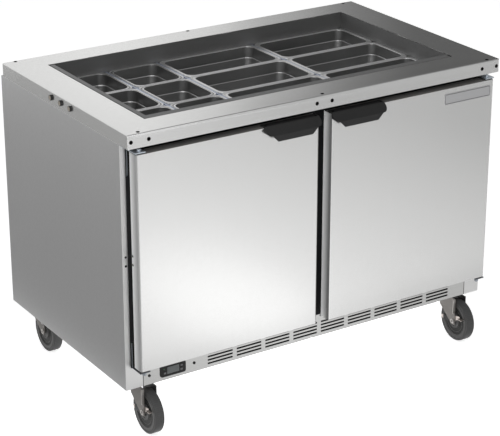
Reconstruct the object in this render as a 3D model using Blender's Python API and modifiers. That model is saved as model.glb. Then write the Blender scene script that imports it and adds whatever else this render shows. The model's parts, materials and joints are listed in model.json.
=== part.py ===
import math

import bmesh
import bpy
from mathutils import Matrix, Vector

# Overall sizes, in metres
WIDTH = 1.2192
DECK_HEIGHT = 0.8906
DECK_DEPTH = 0.7302
FASCIA_HEIGHT = 0.039
RAIL_RISE = 0.003
SHEET = 0.0015
DECK_RIM = 0.0025
FIT = 0.0003
CLEAR = 0.01
WELD = 0.00001

# Cabinet shell
FACE_SETBACK = 0.0443
BACK_OVERHANG = 0.0116
SKIRT_Z = 0.144
BASE_Z = 0.155
BASE_SHEET = 0.002
POST_WIDTH = 0.0535
POST_TOP = 0.208
FLANGE_WIDTH = 0.0165
BACK_FLANGE = 0.02
TOP_FLANGE = 0.03
VENT_COLUMNS = (-0.3, 0.1)
VENT_ROWS = 5
VENT_WIDTH = 0.2
VENT_HEIGHT = 0.012
VENT_PITCH = 0.03
FRAME_THICK = 0.03
FRAME_BOTTOM = 0.2
WALL = 0.0515
FLOOR_FOAM = 0.0355
FOAM_BOTTOM = 0.212
MACHINE_DEPTH = 0.25
MACHINE_TOP = 0.39
MACHINE_FOAM = 0.0415

# Fixing holes in the deck and its fascia
DECK_HOLE_RADIUS = 0.004
DECK_HOLE_INSET = 0.0376
DECK_HOLE_FRONT = 0.0115
DECK_HOLE_BACK = 0.0085
FASCIA_HOLE_RADIUS = 0.0045
FASCIA_HOLE_INSETS = (0.0106, 0.0629, 0.585)
FASCIA_HOLE_DROP = 0.0206

# Doors
DOOR_PROUD = 0.005
DOOR_THICK = 0.035
DOOR_MARGIN = 0.021
DOOR_GAP = 0.0382
DOOR_BOTTOM = 0.2147
DOOR_TOP_GAP = 0.0179
DOOR_RADIUS = 0.006
PIVOT_INSET = 0.0166
PIVOT_DEPTH = 0.013
PIN_RADIUS = 0.004
PIN_CLEARANCE = 0.0004
PIN_LENGTH = 0.012
GASKET_INSET = 0.018
GASKET_WIDTH = 0.014
OPENING_MARGIN = 0.003
BRACKET_SHEET = 0.003
BRACKET_LEG = 0.078
BRACKET_GAP = 0.003
BRACKET_OUTER = 0.018
BRACKET_INNER = 0.013
BRACKET_FRONT = 0.012
BRACKET_LEG_EDGE = 0.004

# Door pulls
HANDLE_WIDTH = 0.18
HANDLE_FROM_EDGE = 0.09
HANDLE_PROUD = 0.02
HANDLE_LAP = 0.02
HANDLE_SLOPE = 0.02
HANDLE_APRON = 0.018
HANDLE_APRON_WIDTH = 0.111
HANDLE_THICK = 0.003
HANDLE_END_RADIUS = 0.014

# Pans and the well they hang in
PAN_ROWS = 3
THIRD_EXTRA = 0.001
PAN_DROP = 0.1
PAN_STEP = 0.045
PAN_FLANGE = 0.008
PAN_DRAFT = 0.0015
PAN_SHOULDER = 0.0045
PAN_SHOULDER_DROP = 0.002
PAN_TAPER = 0.011
PAN_EDGE = 0.004
PAN_SHEET = 0.0009
PAN_CORNER = 0.013
PAN_INNER_CORNER = 0.025
PAN_CORNER_STEPS = 3
PAN_RECESS = 0.052
BAR_GAP = 0.0074
EDGE_GAP = 0.001
ROW_GAP = 0.00065
BAR_SHEET = 0.0025
BAR_LAP = 0.006
RIB_CLEARANCE = 0.0012
RIB_DROP = 0.001
WELL_SETBACK = 0.0891
BACK_STRIP = 0.0859
END_STRIP = 0.10125
LIP_LEFT = 0.0185
LIP_FRONT = 0.027
LIP_GAP = 0.004
LIP_THICK = 0.003
COLLAR_SHEET = 0.002
LEDGE_WIDTH = 0.006
LEDGE_THICK = 0.003

# Grille and controller
GRILLE_TOP = 0.2127
GRILLE_SEAM = 0.001
GRILLE_LIP = 0.008
SLOT_COLUMNS = 9
SLOT_ROWS = 4
SLOT_FIRST = 0.2594
SLOT_WIDTH = 0.0817
SLOT_PITCH_X = 0.0953
SLOT_HEIGHT = 0.005
SLOT_PITCH_Z = 0.0103
SLOT_Z = 0.1544
NOTCH_X = (0.606, 1.0635)
NOTCH_WIDTH = 0.005
NOTCH_HEIGHT = 0.007
BEZEL_X = 0.147
BEZEL_Z = 0.1718
BEZEL_WIDTH = 0.08
BEZEL_HEIGHT = 0.0344
BEZEL_THICK = 0.003
BEZEL_CORNER = 0.006
BODY_INSET = 0.005
BODY_DEPTH = 0.0085
KEY_WIDTH = 0.007
KEY_HEIGHT = 0.005
KEY_DEPTH = 0.0048
KEY_PROUD = 0.0008
KEY_CLEARANCE = 0.0004
KEY_TRAVEL = 0.0011
KEY_SPOTS = ((-0.0265, -0.006), (0.0265, 0.006), (0.0265, -0.006))
DISPLAY_WIDTH = 0.0386
DISPLAY_HEIGHT = 0.0206
DISPLAY_RECESS = 0.0015

# Casters
CASTER_INSET = 0.0703
CASTER_FRONT = 0.087
CASTER_BACK = 0.6916
SWIVEL_OFFSET = 0.04
WHEEL_RADIUS = 0.0635
WHEEL_STEPS = 24
TYRE_HALF = 0.014
HUB_HALF = 0.0155
HUB_RADIUS = 0.02
HUB_SLOPE = 0.002
DISH_DEPTH = 0.003
DISH_RADIUS = 0.044
DISH_SLOPE = 0.003
TREAD_ROUND = 0.004
AXLE_RADIUS = 0.005
AXLE_CLEARANCE = 0.0003
LEG_INNER = 0.018
LEG_SHEET = 0.0025
LEG_EYE = 0.0115
LEG_FRONT = 0.0095
LEG_REAR = 0.062
LEG_REAR_Z = 0.098
LEG_TOP_REAR = 0.069
AXLE_PROUD = 0.001
CROWN_BOTTOM = 0.1365
CROWN_THICK = 0.0035
CROWN_FRONT = 0.026
CROWN_INSET = 0.0005
HEAD_RADIUS = 0.028
BRAKE_SHEET = 0.0014
BRAKE_GAP = 0.0004
BRAKE_EYE = 0.0135
BRAKE_TAIL = ((0.052, -0.01), (0.058, -0.002), (0.05, 0.003), (0.012, 0.008))
BRAKE_NOSE = ((-0.006, 0.02), (-0.03, 0.0235), (-0.03, 0.014), (-0.012, 0.006))
PEDAL_FRONT = 0.047
PEDAL_BACK = 0.028
PEDAL_LIFT = 0.017
PEDAL_SHEET = 0.0018
PEDAL_OUT = 0.005

# Parts inside
SHELF_WIRE = 0.004
SHELF_MARGIN = 0.004
SHELF_FRONT = 0.012
SHELF_BACK = 0.015
LUG_HEIGHT = 0.006
LUG_LENGTH = 0.03
MIDDLE_LUG = 0.03
COIL_DEPTH = 0.085
COIL_HALF = 0.26
COIL_HEIGHT = 0.14
COIL_GAP = 0.0386
RECESS_BEHIND_FAN = 0.014
SHAFT_SETBACK = 0.004
FAN_SETBACK = 0.006
FAN_HUB_RADIUS = 0.018
FAN_HUB_LENGTH = 0.016
FAN_RADIUS = 0.06
FAN_RECESS = 0.066
BLADE_PITCH = 0.45
BLADE_SHEET = 0.0015
BLADE_CHORD = 0.024
SHAFT_RADIUS = 0.004
SHAFT_CLEARANCE = 0.0004
CONDENSER_X0 = -0.33
CONDENSER_X1 = -0.07
CONDENSER_SETBACK = 0.03
CONDENSER_DEPTH = 0.05
CONDENSER_HEIGHT = 0.19
MOTOR_RADIUS = 0.028
MOTOR_LENGTH = 0.035
FAN_STANDOFF = 0.0015
TRAY_SHEET = 0.004
TRAY_MARGIN = 0.01
COMPRESSOR_X = 0.2
COMPRESSOR_SETBACK = 0.115
COMPRESSOR_DOME = ((0, 0.175), (0.03, 0.173), (0.055, 0.162), (0.068, 0.14), (0.07, 0.115), (0.07, 0.03))
COMPRESSOR_FOOT = ((0.06, 0.012), (0.08, 0.012), (0.08, 0), (0, 0))

# Levels and planes worked out from the sizes above
HALF = WIDTH / 2
FRONT_Y = (DOOR_PROUD + HANDLE_PROUD - DECK_DEPTH - BACK_OVERHANG) / 2
DECK_BACK_Y = FRONT_Y + DECK_DEPTH
FACE_Y = FRONT_Y + FACE_SETBACK
BACK_Y = DECK_BACK_Y + BACK_OVERHANG
INNER_BACK_Y = BACK_Y - SHEET - FIT
PANEL_TOP = DECK_HEIGHT - FASCIA_HEIGHT - FIT
WALL_TOP = PANEL_TOP - SHEET - FIT
UNDER_DECK = DECK_HEIGHT - SHEET - FIT
FRAME_TOP = UNDER_DECK - DECK_RIM / 2
DOOR_FRONT_Y = FRONT_Y - DOOR_PROUD
DOOR_BACK_Y = DOOR_FRONT_Y + DOOR_THICK
DOOR_TOP = DECK_HEIGHT - FASCIA_HEIGHT - DOOR_TOP_GAP
DOOR_HEIGHT = DOOR_TOP - DOOR_BOTTOM
DOOR_OUTER = HALF - DOOR_MARGIN
DOOR_INNER = DOOR_GAP / 2
PIVOT_X = DOOR_OUTER - PIVOT_INSET
PIVOT_Y = DOOR_FRONT_Y + PIVOT_DEPTH
FRAME_Y = FACE_Y + SHEET + FIT
FRAME_BACK_Y = FRAME_Y + FRAME_THICK
OPENING_INSET = GASKET_INSET + GASKET_WIDTH + OPENING_MARGIN
PAN_TOP = DECK_HEIGHT - PAN_RECESS
LEDGE_TOP = PAN_TOP - PAN_EDGE - FIT
LEDGE_LOW = LEDGE_TOP - BAR_SHEET - FIT
COLLAR_BOTTOM = LEDGE_LOW - LEDGE_THICK
LIP_BOTTOM = UNDER_DECK - LIP_THICK
CEILING = COLLAR_BOTTOM - FIT
WELL_WIDTH = WIDTH - 2 * END_STRIP - LIP_LEFT
WELL_DEPTH = DECK_DEPTH - WELL_SETBACK - LIP_FRONT - BACK_STRIP
SIXTH_WIDTH = (WELL_WIDTH - 3 * BAR_GAP - 2 * EDGE_GAP - 2 * THIRD_EXTRA) / 6
THIRD_WIDTH = 2 * SIXTH_WIDTH + THIRD_EXTRA
COLUMNS = (SIXTH_WIDTH, SIXTH_WIDTH, THIRD_WIDTH, THIRD_WIDTH)
PAN_DEPTH_Y = (WELL_DEPTH - (PAN_ROWS + 1) * ROW_GAP) / PAN_ROWS
WELL_X1 = HALF - END_STRIP
WELL_X0 = WELL_X1 - WELL_WIDTH
WELL_Y0 = FRONT_Y + WELL_SETBACK + LIP_FRONT
WELL_Y1 = WELL_Y0 + WELL_DEPTH
MOUTH_X0 = WELL_X0 - LIP_LEFT
MOUTH_Y0 = WELL_Y0 - LIP_FRONT
LINER_X = HALF - WALL
LINER_Y0 = FRAME_BACK_Y + FIT
LINER_Y1 = BACK_Y - WALL
LINER_FLOOR = FOAM_BOTTOM + FLOOR_FOAM
MACHINE_Y = BACK_Y - MACHINE_DEPTH
STEP_Y = MACHINE_Y - MACHINE_FOAM
STEP_Z = MACHINE_TOP + MACHINE_FOAM
SHELF_Z = STEP_Z + FIT
COIL_TOP = PAN_TOP - PAN_DROP - COIL_GAP
COIL_BOTTOM = COIL_TOP - COIL_HEIGHT
BASE_TOP = BASE_Z + BASE_SHEET
BASE_Y0 = FACE_Y + SHEET + GRILLE_LIP + FIT
CASTER_X = HALF - CASTER_INSET
HEAD_TOP = BASE_Z - FIT
LEG_OUTER = LEG_INNER + LEG_SHEET

# The startup scene is cleared, then parts and cutters get a collection each
for old in list(bpy.data.objects):
    bpy.data.objects.remove(old)
PARTS = bpy.data.collections.new("sandwich_prep_table")
CUTTERS = bpy.data.collections.new("cutters")
bpy.context.scene.collection.children.link(PARTS)
bpy.context.scene.collection.children.link(CUTTERS)

# Turns a shape built along Z so that it runs along another axis
ALONG = {
    "X": Matrix(((0, 0, 1, 0), (1, 0, 0, 0), (0, 1, 0, 0), (0, 0, 0, 1))),
    "Y": Matrix(((1, 0, 0, 0), (0, 0, -1, 0), (0, 1, 0, 0), (0, 0, 0, 1))),
    "Z": Matrix.Identity(4),
}


def surface(name, color, roughness, metallic):
    finish = bpy.data.materials.new(name)
    finish.use_nodes = True
    shader = finish.node_tree.nodes["Principled BSDF"]
    shader.inputs["Base Color"].default_value = (*color, 1)
    shader.inputs["Roughness"].default_value = roughness
    shader.inputs["Metallic"].default_value = metallic
    finish.diffuse_color = (*color, 1)
    return finish


STAINLESS = ((0.74, 0.74, 0.73), 0.32, 1.0)
DARK_STEEL = ((0.3, 0.3, 0.3), 0.4, 1.0)
ZINC = ((0.55, 0.58, 0.63), 0.4, 1.0)
FORK_STEEL = ((0.4, 0.38, 0.36), 0.45, 1.0)
BRAKE_STEEL = ((0.6, 0.54, 0.5), 0.4, 1.0)
ALUMINIUM = ((0.66, 0.67, 0.68), 0.45, 1.0)
BLACK_PLASTIC = ((0.03, 0.03, 0.032), 0.5, 0.0)
GREY_PLASTIC = ((0.16, 0.16, 0.165), 0.5, 0.0)
RUBBER = ((0.015, 0.015, 0.015), 0.75, 0.0)
BLACK_PAINT = ((0.02, 0.02, 0.02), 0.35, 0.0)


# A shape starts as a hidden helper, and part() turns it into a named sub-part
def helper(name, shape):
    mesh = bpy.data.meshes.new(name)
    shape.to_mesh(mesh)
    shape.free()
    obj = bpy.data.objects.new(name, mesh)
    obj.hide_render = True
    obj.display_type = "WIRE"
    CUTTERS.objects.link(obj)
    return obj


def world_of(obj):
    at = Vector((0, 0, 0))
    while obj:
        at = at + obj.location
        obj = obj.parent
    return at


def middle_of(obj):
    low = Vector([min(v.co[i] for v in obj.data.vertices) for i in range(3)])
    high = Vector([max(v.co[i] for v in obj.data.vertices) for i in range(3)])
    return (low + high) / 2


def part(obj, name, look, origin=None, parent=None):
    CUTTERS.objects.unlink(obj)
    PARTS.objects.link(obj)
    obj.hide_render = False
    obj.display_type = "TEXTURED"
    obj.name = name
    obj.data.name = name
    obj.data.materials.append(surface(name, *look))
    at = middle_of(obj) if origin is None else Vector(origin)
    obj.data.transform(Matrix.Translation(obj.location - at))
    obj.parent = parent
    obj.location = at - world_of(parent)
    return obj


def pivot(name, at, parent=None):
    empty = bpy.data.objects.new(name, None)
    empty.empty_display_size = 0.03
    PARTS.objects.link(empty)
    empty.parent = parent
    empty.location = Vector(at) - world_of(parent)
    return empty


def boolean(target, other, operation):
    step = target.modifiers.new(operation.lower(), "BOOLEAN")
    step.operation = operation
    step.solver = "EXACT"
    step.object = other


def cut(target, other):
    boolean(target, other, "DIFFERENCE")


def join(target, other):
    boolean(target, other, "UNION")


def keep_inside(target, other):
    boolean(target, other, "INTERSECT")


# Boxes given by their low and high corners
def boxes(name, *spans):
    shape = bmesh.new()
    for ends in spans:
        low = Vector([min(pair) for pair in zip(*ends)])
        high = Vector([max(pair) for pair in zip(*ends)])
        size = Matrix.Diagonal((*(high - low), 1))
        bmesh.ops.create_cube(shape, size=1, matrix=Matrix.Translation((low + high) / 2) @ size)
    return helper(name, shape)


# Round bars of one size along one axis
def rods(name, radius, length, axis, centres, segments=12):
    shape = bmesh.new()
    for centre in centres:
        bmesh.ops.create_cone(
            shape,
            cap_ends=True,
            segments=segments,
            radius1=radius,
            radius2=radius,
            depth=length,
            matrix=Matrix.Translation(centre) @ ALONG[axis],
        )
    return helper(name, shape)


# A flat outline pushed out between two planes; its two numbers are XY, YZ or XZ for axis Z, X or Y
def prism(name, outline, low, high, axis):
    curve = bpy.data.curves.new(name, "CURVE")
    curve.dimensions = "2D"
    curve.fill_mode = "BOTH"
    curve.extrude = (high - low) / 2
    spline = curve.splines.new("POLY")
    spline.points.add(len(outline) - 1)
    spline.use_cyclic_u = True
    for point, (u, v) in zip(spline.points, outline):
        point.co = (u, v, 0, 1)
    maker = bpy.data.objects.new(name, curve)
    bpy.context.scene.collection.objects.link(maker)
    graph = bpy.context.evaluated_depsgraph_get()
    mesh = bpy.data.meshes.new_from_object(maker.evaluated_get(graph))
    bpy.data.objects.remove(maker)
    shape = bmesh.new()
    shape.from_mesh(mesh)
    bpy.data.meshes.remove(mesh)
    bmesh.ops.remove_doubles(shape, verts=shape.verts, dist=WELD)
    shift = Vector((0, 0, (low + high) / 2 if axis != "Y" else -(low + high) / 2))
    bmesh.ops.transform(shape, matrix=ALONG[axis] @ Matrix.Translation(shift), verts=shape.verts)
    bmesh.ops.recalc_face_normals(shape, faces=shape.faces)
    return helper(name, shape)


# A profile of (radius, height) pairs turned about Z, then stood along its axis
def turned(name, profile, at, axis, steps, closed):
    shape = bmesh.new()
    points = [shape.verts.new((radius, 0, height)) for radius, height in profile]
    for first, second in zip(points, points[1:]):
        shape.edges.new((first, second))
    if closed:
        shape.edges.new((points[-1], points[0]))
    obj = helper(name, shape)
    screw = obj.modifiers.new("turn", "SCREW")
    screw.axis = "Z"
    screw.steps = steps
    screw.render_steps = steps
    screw.use_merge_vertices = True
    screw.merge_threshold = WELD
    obj.location = at
    obj.rotation_euler = ALONG[axis].to_euler()
    return obj


def arc(centre, radius, start, end, steps):
    found = []
    for step in range(steps + 1):
        angle = math.radians(start + (end - start) * step / steps)
        found.append((centre[0] + radius * math.cos(angle), centre[1] + radius * math.sin(angle)))
    return found


def rounded(width, height, radius, steps, middle=(0, 0)):
    x = width / 2 - radius
    y = height / 2 - radius
    found = []
    for sx, sy, start in ((1, 1, 0), (-1, 1, 90), (-1, -1, 180), (1, -1, 270)):
        centre = (middle[0] + sx * x, middle[1] + sy * y)
        found += arc(centre, radius, start, start + 90, steps)
    return found


# Cabinet shell
def side_panel(side, name):
    edge = side * HALF
    inner = side * (HALF - SHEET)
    post = side * (HALF - POST_WIDTH)
    back = side * (HALF - BACK_FLANGE)
    outline = [(post, FACE_Y), (edge, FACE_Y), (edge, BACK_Y), (back, BACK_Y), (back, BACK_Y - SHEET)]
    outline += [(inner, BACK_Y - SHEET), (inner, FACE_Y + SHEET), (post, FACE_Y + SHEET)]
    panel = prism("side_outline", outline, SKIRT_Z, PANEL_TOP, "Z")
    low = (side * (HALF - FLANGE_WIDTH), FACE_Y - CLEAR, POST_TOP)
    high = (side * (HALF - POST_WIDTH - CLEAR), FACE_Y + SHEET + CLEAR, PANEL_TOP + CLEAR)
    cut(panel, boxes("flange_cut", (low, high)))
    part(panel, name, STAINLESS)


def back_panel():
    outline = [(BACK_Y, SKIRT_Z), (BACK_Y, PANEL_TOP), (BACK_Y - TOP_FLANGE, PANEL_TOP)]
    outline += [(BACK_Y - TOP_FLANGE, PANEL_TOP - SHEET), (BACK_Y - SHEET, PANEL_TOP - SHEET)]
    outline += [(BACK_Y - SHEET, SKIRT_Z)]
    reach = HALF - BACK_FLANGE - FIT
    panel = prism("back_outline", outline, -reach, reach, "X")
    slots = []
    for x in VENT_COLUMNS:
        for row in range(1, VENT_ROWS + 1):
            z = BASE_TOP + VENT_PITCH * row
            slots.append(((x, BACK_Y - CLEAR, z), (x + VENT_WIDTH, BACK_Y + CLEAR, z + VENT_HEIGHT)))
    cut(panel, boxes("back_slots", *slots))
    part(panel, "back_panel", STAINLESS)


def base_pan():
    reach = HALF - SHEET - FIT
    pan = boxes("base", ((-reach, BASE_Y0, BASE_Z), (reach, INNER_BACK_Y, BASE_TOP)))
    part(pan, "base_pan", STAINLESS)


# Insulated walls: foam slabs with a metal skin towards the inside
def insulated_side(side, name):
    low = (side * LINER_X, LINER_Y0, FOAM_BOTTOM)
    wall = boxes("side_wall", (low, (side * (HALF - SHEET - FIT), INNER_BACK_Y, WALL_TOP)))
    part(wall, name, ALUMINIUM)


def insulated_floor():
    reach = LINER_X - FIT
    floor = boxes("floor", ((-reach, LINER_Y0, FOAM_BOTTOM), (reach, STEP_Y - FIT, LINER_FLOOR)))
    part(floor, "insulated_floor", ALUMINIUM)


def insulated_step():
    outline = [(STEP_Y, FOAM_BOTTOM), (MACHINE_Y, FOAM_BOTTOM), (MACHINE_Y, MACHINE_TOP)]
    outline += [(INNER_BACK_Y, MACHINE_TOP), (INNER_BACK_Y, STEP_Z), (STEP_Y, STEP_Z)]
    reach = LINER_X - FIT
    part(prism("step_outline", outline, -reach, reach, "X"), "insulated_step", ALUMINIUM)


def insulated_back():
    reach = LINER_X - FIT
    wall = boxes("back_wall", ((-reach, LINER_Y1, STEP_Z + FIT), (reach, INNER_BACK_Y, WALL_TOP)))
    low = (-reach, LINER_Y0, CEILING - SHEET)
    join(wall, boxes("ceiling", (low, (reach, LINER_Y1 + CLEAR, CEILING))))
    low = (WELL_X0, WELL_Y0, CEILING - CLEAR)
    cut(wall, boxes("well_cut", (low, (WELL_X1, WELL_Y1, CEILING + CLEAR))))
    part(wall, "insulated_back_and_ceiling", ALUMINIUM)


def front_frame():
    reach = HALF - SHEET - FIT
    frame = boxes("frame", ((-reach, FRAME_Y, FRAME_BOTTOM), (reach, FRAME_BACK_Y, FRAME_TOP)))
    openings = []
    for side in (-1, 1):
        low = (side * (DOOR_INNER + OPENING_INSET), FRAME_Y - CLEAR, DOOR_BOTTOM + OPENING_INSET)
        high = (side * (DOOR_OUTER - OPENING_INSET), FRAME_BACK_Y + CLEAR, DOOR_TOP - OPENING_INSET)
        openings.append((low, high))
    cut(frame, boxes("door_openings", *openings))
    near = FRAME_BACK_Y - CLEAR
    far = FRAME_BACK_Y + LUG_LENGTH
    top = SHELF_Z - FIT
    lugs = [((-MIDDLE_LUG, near, top - LUG_HEIGHT), (MIDDLE_LUG, far, top))]
    for side in (-1, 1):
        low = (side * (DOOR_OUTER - OPENING_INSET + FIT), near, top - LUG_HEIGHT)
        lugs.append((low, (side * (LINER_X - FIT), far, top)))
    join(frame, boxes("shelf_lugs", *lugs))
    part(frame, "front_frame", GREY_PLASTIC)


# Stainless top with its turned-down edges and a filled rail behind the front one
def top_deck():
    shape = bmesh.new()
    size = Matrix.Diagonal((WIDTH, DECK_DEPTH, FASCIA_HEIGHT, 1))
    centre = (0, FRONT_Y + DECK_DEPTH / 2, DECK_HEIGHT - FASCIA_HEIGHT / 2)
    bmesh.ops.create_cube(shape, size=1, matrix=Matrix.Translation(centre) @ size)
    under = [face for face in shape.faces if face.normal.z < -0.5]
    bmesh.ops.delete(shape, geom=under, context="FACES_ONLY")
    deck = helper("deck", shape)
    rim = deck.modifiers.new("edges", "BEVEL")
    rim.width = DECK_RIM
    rim.segments = 2
    shell = deck.modifiers.new("sheet", "SOLIDIFY")
    shell.thickness = SHEET
    shell.offset = -1
    shell.use_even_offset = True
    reach = HALF - SHEET / 2
    low = (-reach, FRONT_Y + SHEET / 2, DECK_HEIGHT - FASCIA_HEIGHT + RAIL_RISE)
    join(deck, boxes("front_rail", (low, (reach, FRAME_Y - FIT, DECK_HEIGHT - SHEET / 2))))
    mouth = ((MOUTH_X0, MOUTH_Y0, DECK_HEIGHT - CLEAR), (WELL_X1, WELL_Y1, DECK_HEIGHT + CLEAR))
    cut(deck, boxes("deck_mouth", mouth))
    spots = []
    for x in (DECK_HOLE_INSET - HALF, 0.0, HALF - DECK_HOLE_INSET):
        for y in (FRONT_Y + DECK_HOLE_FRONT, DECK_BACK_Y - DECK_HOLE_BACK):
            spots.append((x, y, DECK_HEIGHT))
    cut(deck, rods("deck_holes", DECK_HOLE_RADIUS, CLEAR, "Z", spots))
    spots = []
    for x in FASCIA_HOLE_INSETS:
        for side in (-1, 1):
            spots.append((side * (HALF - x), FRONT_Y, DECK_HEIGHT - FASCIA_HOLE_DROP))
    cut(deck, rods("fascia_holes", FASCIA_HOLE_RADIUS, CLEAR, "Y", spots))
    part(deck, "top_deck", STAINLESS)


# Dark well the pans hang in, with its lip along the left and front edges
def well_collar():
    low = (WELL_X0 - COLLAR_SHEET, WELL_Y0 - COLLAR_SHEET, COLLAR_BOTTOM)
    collar = boxes("collar", (low, (WELL_X1 + COLLAR_SHEET, WELL_Y1 + COLLAR_SHEET, UNDER_DECK)))
    top = DECK_HEIGHT + CLEAR
    cut(collar, boxes("well", ((WELL_X0, WELL_Y0, LEDGE_TOP), (WELL_X1, WELL_Y1, top))))
    inset = LEDGE_WIDTH
    low = (WELL_X0 + inset, WELL_Y0, LEDGE_LOW)
    cut(collar, boxes("bar_seat", (low, (WELL_X1 - inset, WELL_Y1, top))))
    low = (WELL_X0 + inset, WELL_Y0 + inset, COLLAR_BOTTOM - CLEAR)
    cut(collar, boxes("pan_hole", (low, (WELL_X1 - inset, WELL_Y1 - inset, top))))
    left = MOUTH_X0 + LIP_GAP
    front = MOUTH_Y0 + LIP_GAP
    right = WELL_X1 - LIP_GAP
    back = WELL_Y1 - LIP_GAP
    wall_x = WELL_X0 - COLLAR_SHEET / 4
    wall_y = WELL_Y0 - COLLAR_SHEET / 4
    outline = [(left, front), (right, front), (right, wall_y), (wall_x, wall_y), (wall_x, back), (left, back)]
    join(collar, prism("lip", outline, LIP_BOTTOM, DECK_HEIGHT - SHEET / 2, "Z"))
    part(collar, "well_collar", DARK_STEEL)


def column_edges():
    edges = []
    x = WELL_X0 + EDGE_GAP
    for width in COLUMNS:
        edges.append((x, x + width))
        x += width + BAR_GAP
    return edges


def divider_bars():
    edges = column_edges()
    for index in range(len(edges) - 1):
        x = edges[index][1] + BAR_GAP / 2
        rib = BAR_GAP / 2 - RIB_CLEARANCE
        base = BAR_GAP / 2 + BAR_LAP
        low = LEDGE_LOW + FIT
        ribs = PAN_TOP - RIB_DROP
        outline = [(x - base, low), (x + base, low), (x + base, LEDGE_TOP), (x + rib, LEDGE_TOP)]
        outline += [(x + rib, ribs), (x - rib, ribs), (x - rib, LEDGE_TOP), (x - base, LEDGE_TOP)]
        bar = prism("bar_outline", outline, WELL_Y0 + FIT, WELL_Y1 - FIT, "Y")
        part(bar, f"divider_bar_{index + 1}", STAINLESS)


# One food pan: a lofted sheet from its turned-down edge to its floor
def food_pan(name, width, middle):
    rings = [(0, PAN_EDGE, PAN_CORNER), (0, 0, PAN_CORNER), (PAN_FLANGE, 0, PAN_INNER_CORNER)]
    rings += [(PAN_FLANGE + PAN_DRAFT, PAN_STEP, PAN_INNER_CORNER)]
    rings += [(PAN_FLANGE + PAN_SHOULDER, PAN_STEP + PAN_SHOULDER_DROP, PAN_INNER_CORNER)]
    rings += [(PAN_FLANGE + PAN_TAPER, PAN_DROP - PAN_SHEET, PAN_INNER_CORNER)]
    shape = bmesh.new()
    loops = []
    for inset, drop, radius in rings:
        outline = rounded(width - 2 * inset, PAN_DEPTH_Y - 2 * inset, radius, PAN_CORNER_STEPS)
        points = [shape.verts.new((x, y, -drop)) for x, y in outline]
        loop = []
        for first, second in zip(points, points[1:] + points[:1]):
            loop.append(shape.edges.new((first, second)))
        loops.append(loop)
    for upper, lower in zip(loops, loops[1:]):
        bmesh.ops.bridge_loops(shape, edges=upper + lower)
    bmesh.ops.holes_fill(shape, edges=loops[-1], sides=0)
    bmesh.ops.recalc_face_normals(shape, faces=shape.faces)
    shape.normal_update()
    floor = min(shape.faces, key=lambda face: face.calc_center_median().z)
    if floor.normal.z < 0:
        bmesh.ops.reverse_faces(shape, faces=shape.faces)
    pan = helper(name, shape)
    pan.location = middle
    shell = pan.modifiers.new("sheet", "SOLIDIFY")
    shell.thickness = PAN_SHEET
    shell.offset = -1
    shell.use_even_offset = True
    part(pan, name, STAINLESS, origin=middle)


def food_pans():
    counts = {SIXTH_WIDTH: 0, THIRD_WIDTH: 0}
    names = {SIXTH_WIDTH: "sixth_pan", THIRD_WIDTH: "third_pan"}
    for row in range(PAN_ROWS):
        y = WELL_Y0 + ROW_GAP + PAN_DEPTH_Y / 2 + row * (PAN_DEPTH_Y + ROW_GAP)
        for low, high in column_edges():
            width = SIXTH_WIDTH if high - low < (SIXTH_WIDTH + THIRD_WIDTH) / 2 else THIRD_WIDTH
            counts[width] += 1
            food_pan(f"{names[width]}_{counts[width]}", width, ((low + high) / 2, y, PAN_TOP))


# Lower front: slotted grille and the controller set into it
def front_grille():
    reach = HALF - POST_WIDTH - GRILLE_SEAM
    back = FACE_Y + SHEET
    outline = [(FACE_Y, SKIRT_Z), (back + GRILLE_LIP, SKIRT_Z), (back + GRILLE_LIP, SKIRT_Z + SHEET)]
    outline += [(back, SKIRT_Z + SHEET), (back, GRILLE_TOP), (FACE_Y, GRILLE_TOP)]
    grille = prism("grille_outline", outline, -reach, reach, "X")
    near = FACE_Y - CLEAR
    far = back + CLEAR / 4
    slots = []
    for column in range(SLOT_COLUMNS):
        x = SLOT_FIRST + column * SLOT_PITCH_X - HALF
        for row in range(SLOT_ROWS):
            z = SLOT_Z + row * SLOT_PITCH_Z
            slots.append(((x, near, z), (x + SLOT_WIDTH, far, z + SLOT_HEIGHT)))
    cut(grille, boxes("louvre_slots", *slots))
    x = BEZEL_X - HALF
    width = BEZEL_WIDTH / 2 - BODY_INSET + FIT
    height = BEZEL_HEIGHT / 2 - BODY_INSET + FIT
    hole = ((x - width, near, BEZEL_Z - height), (x + width, far, BEZEL_Z + height))
    notches = []
    for start in NOTCH_X:
        x = start - HALF
        high = (x + NOTCH_WIDTH, back + CLEAR, SKIRT_Z + NOTCH_HEIGHT)
        notches.append(((x, near, SKIRT_Z - CLEAR), high))
    cut(grille, boxes("controller_hole", hole, *notches))
    part(grille, "front_grille", STAINLESS)


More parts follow.
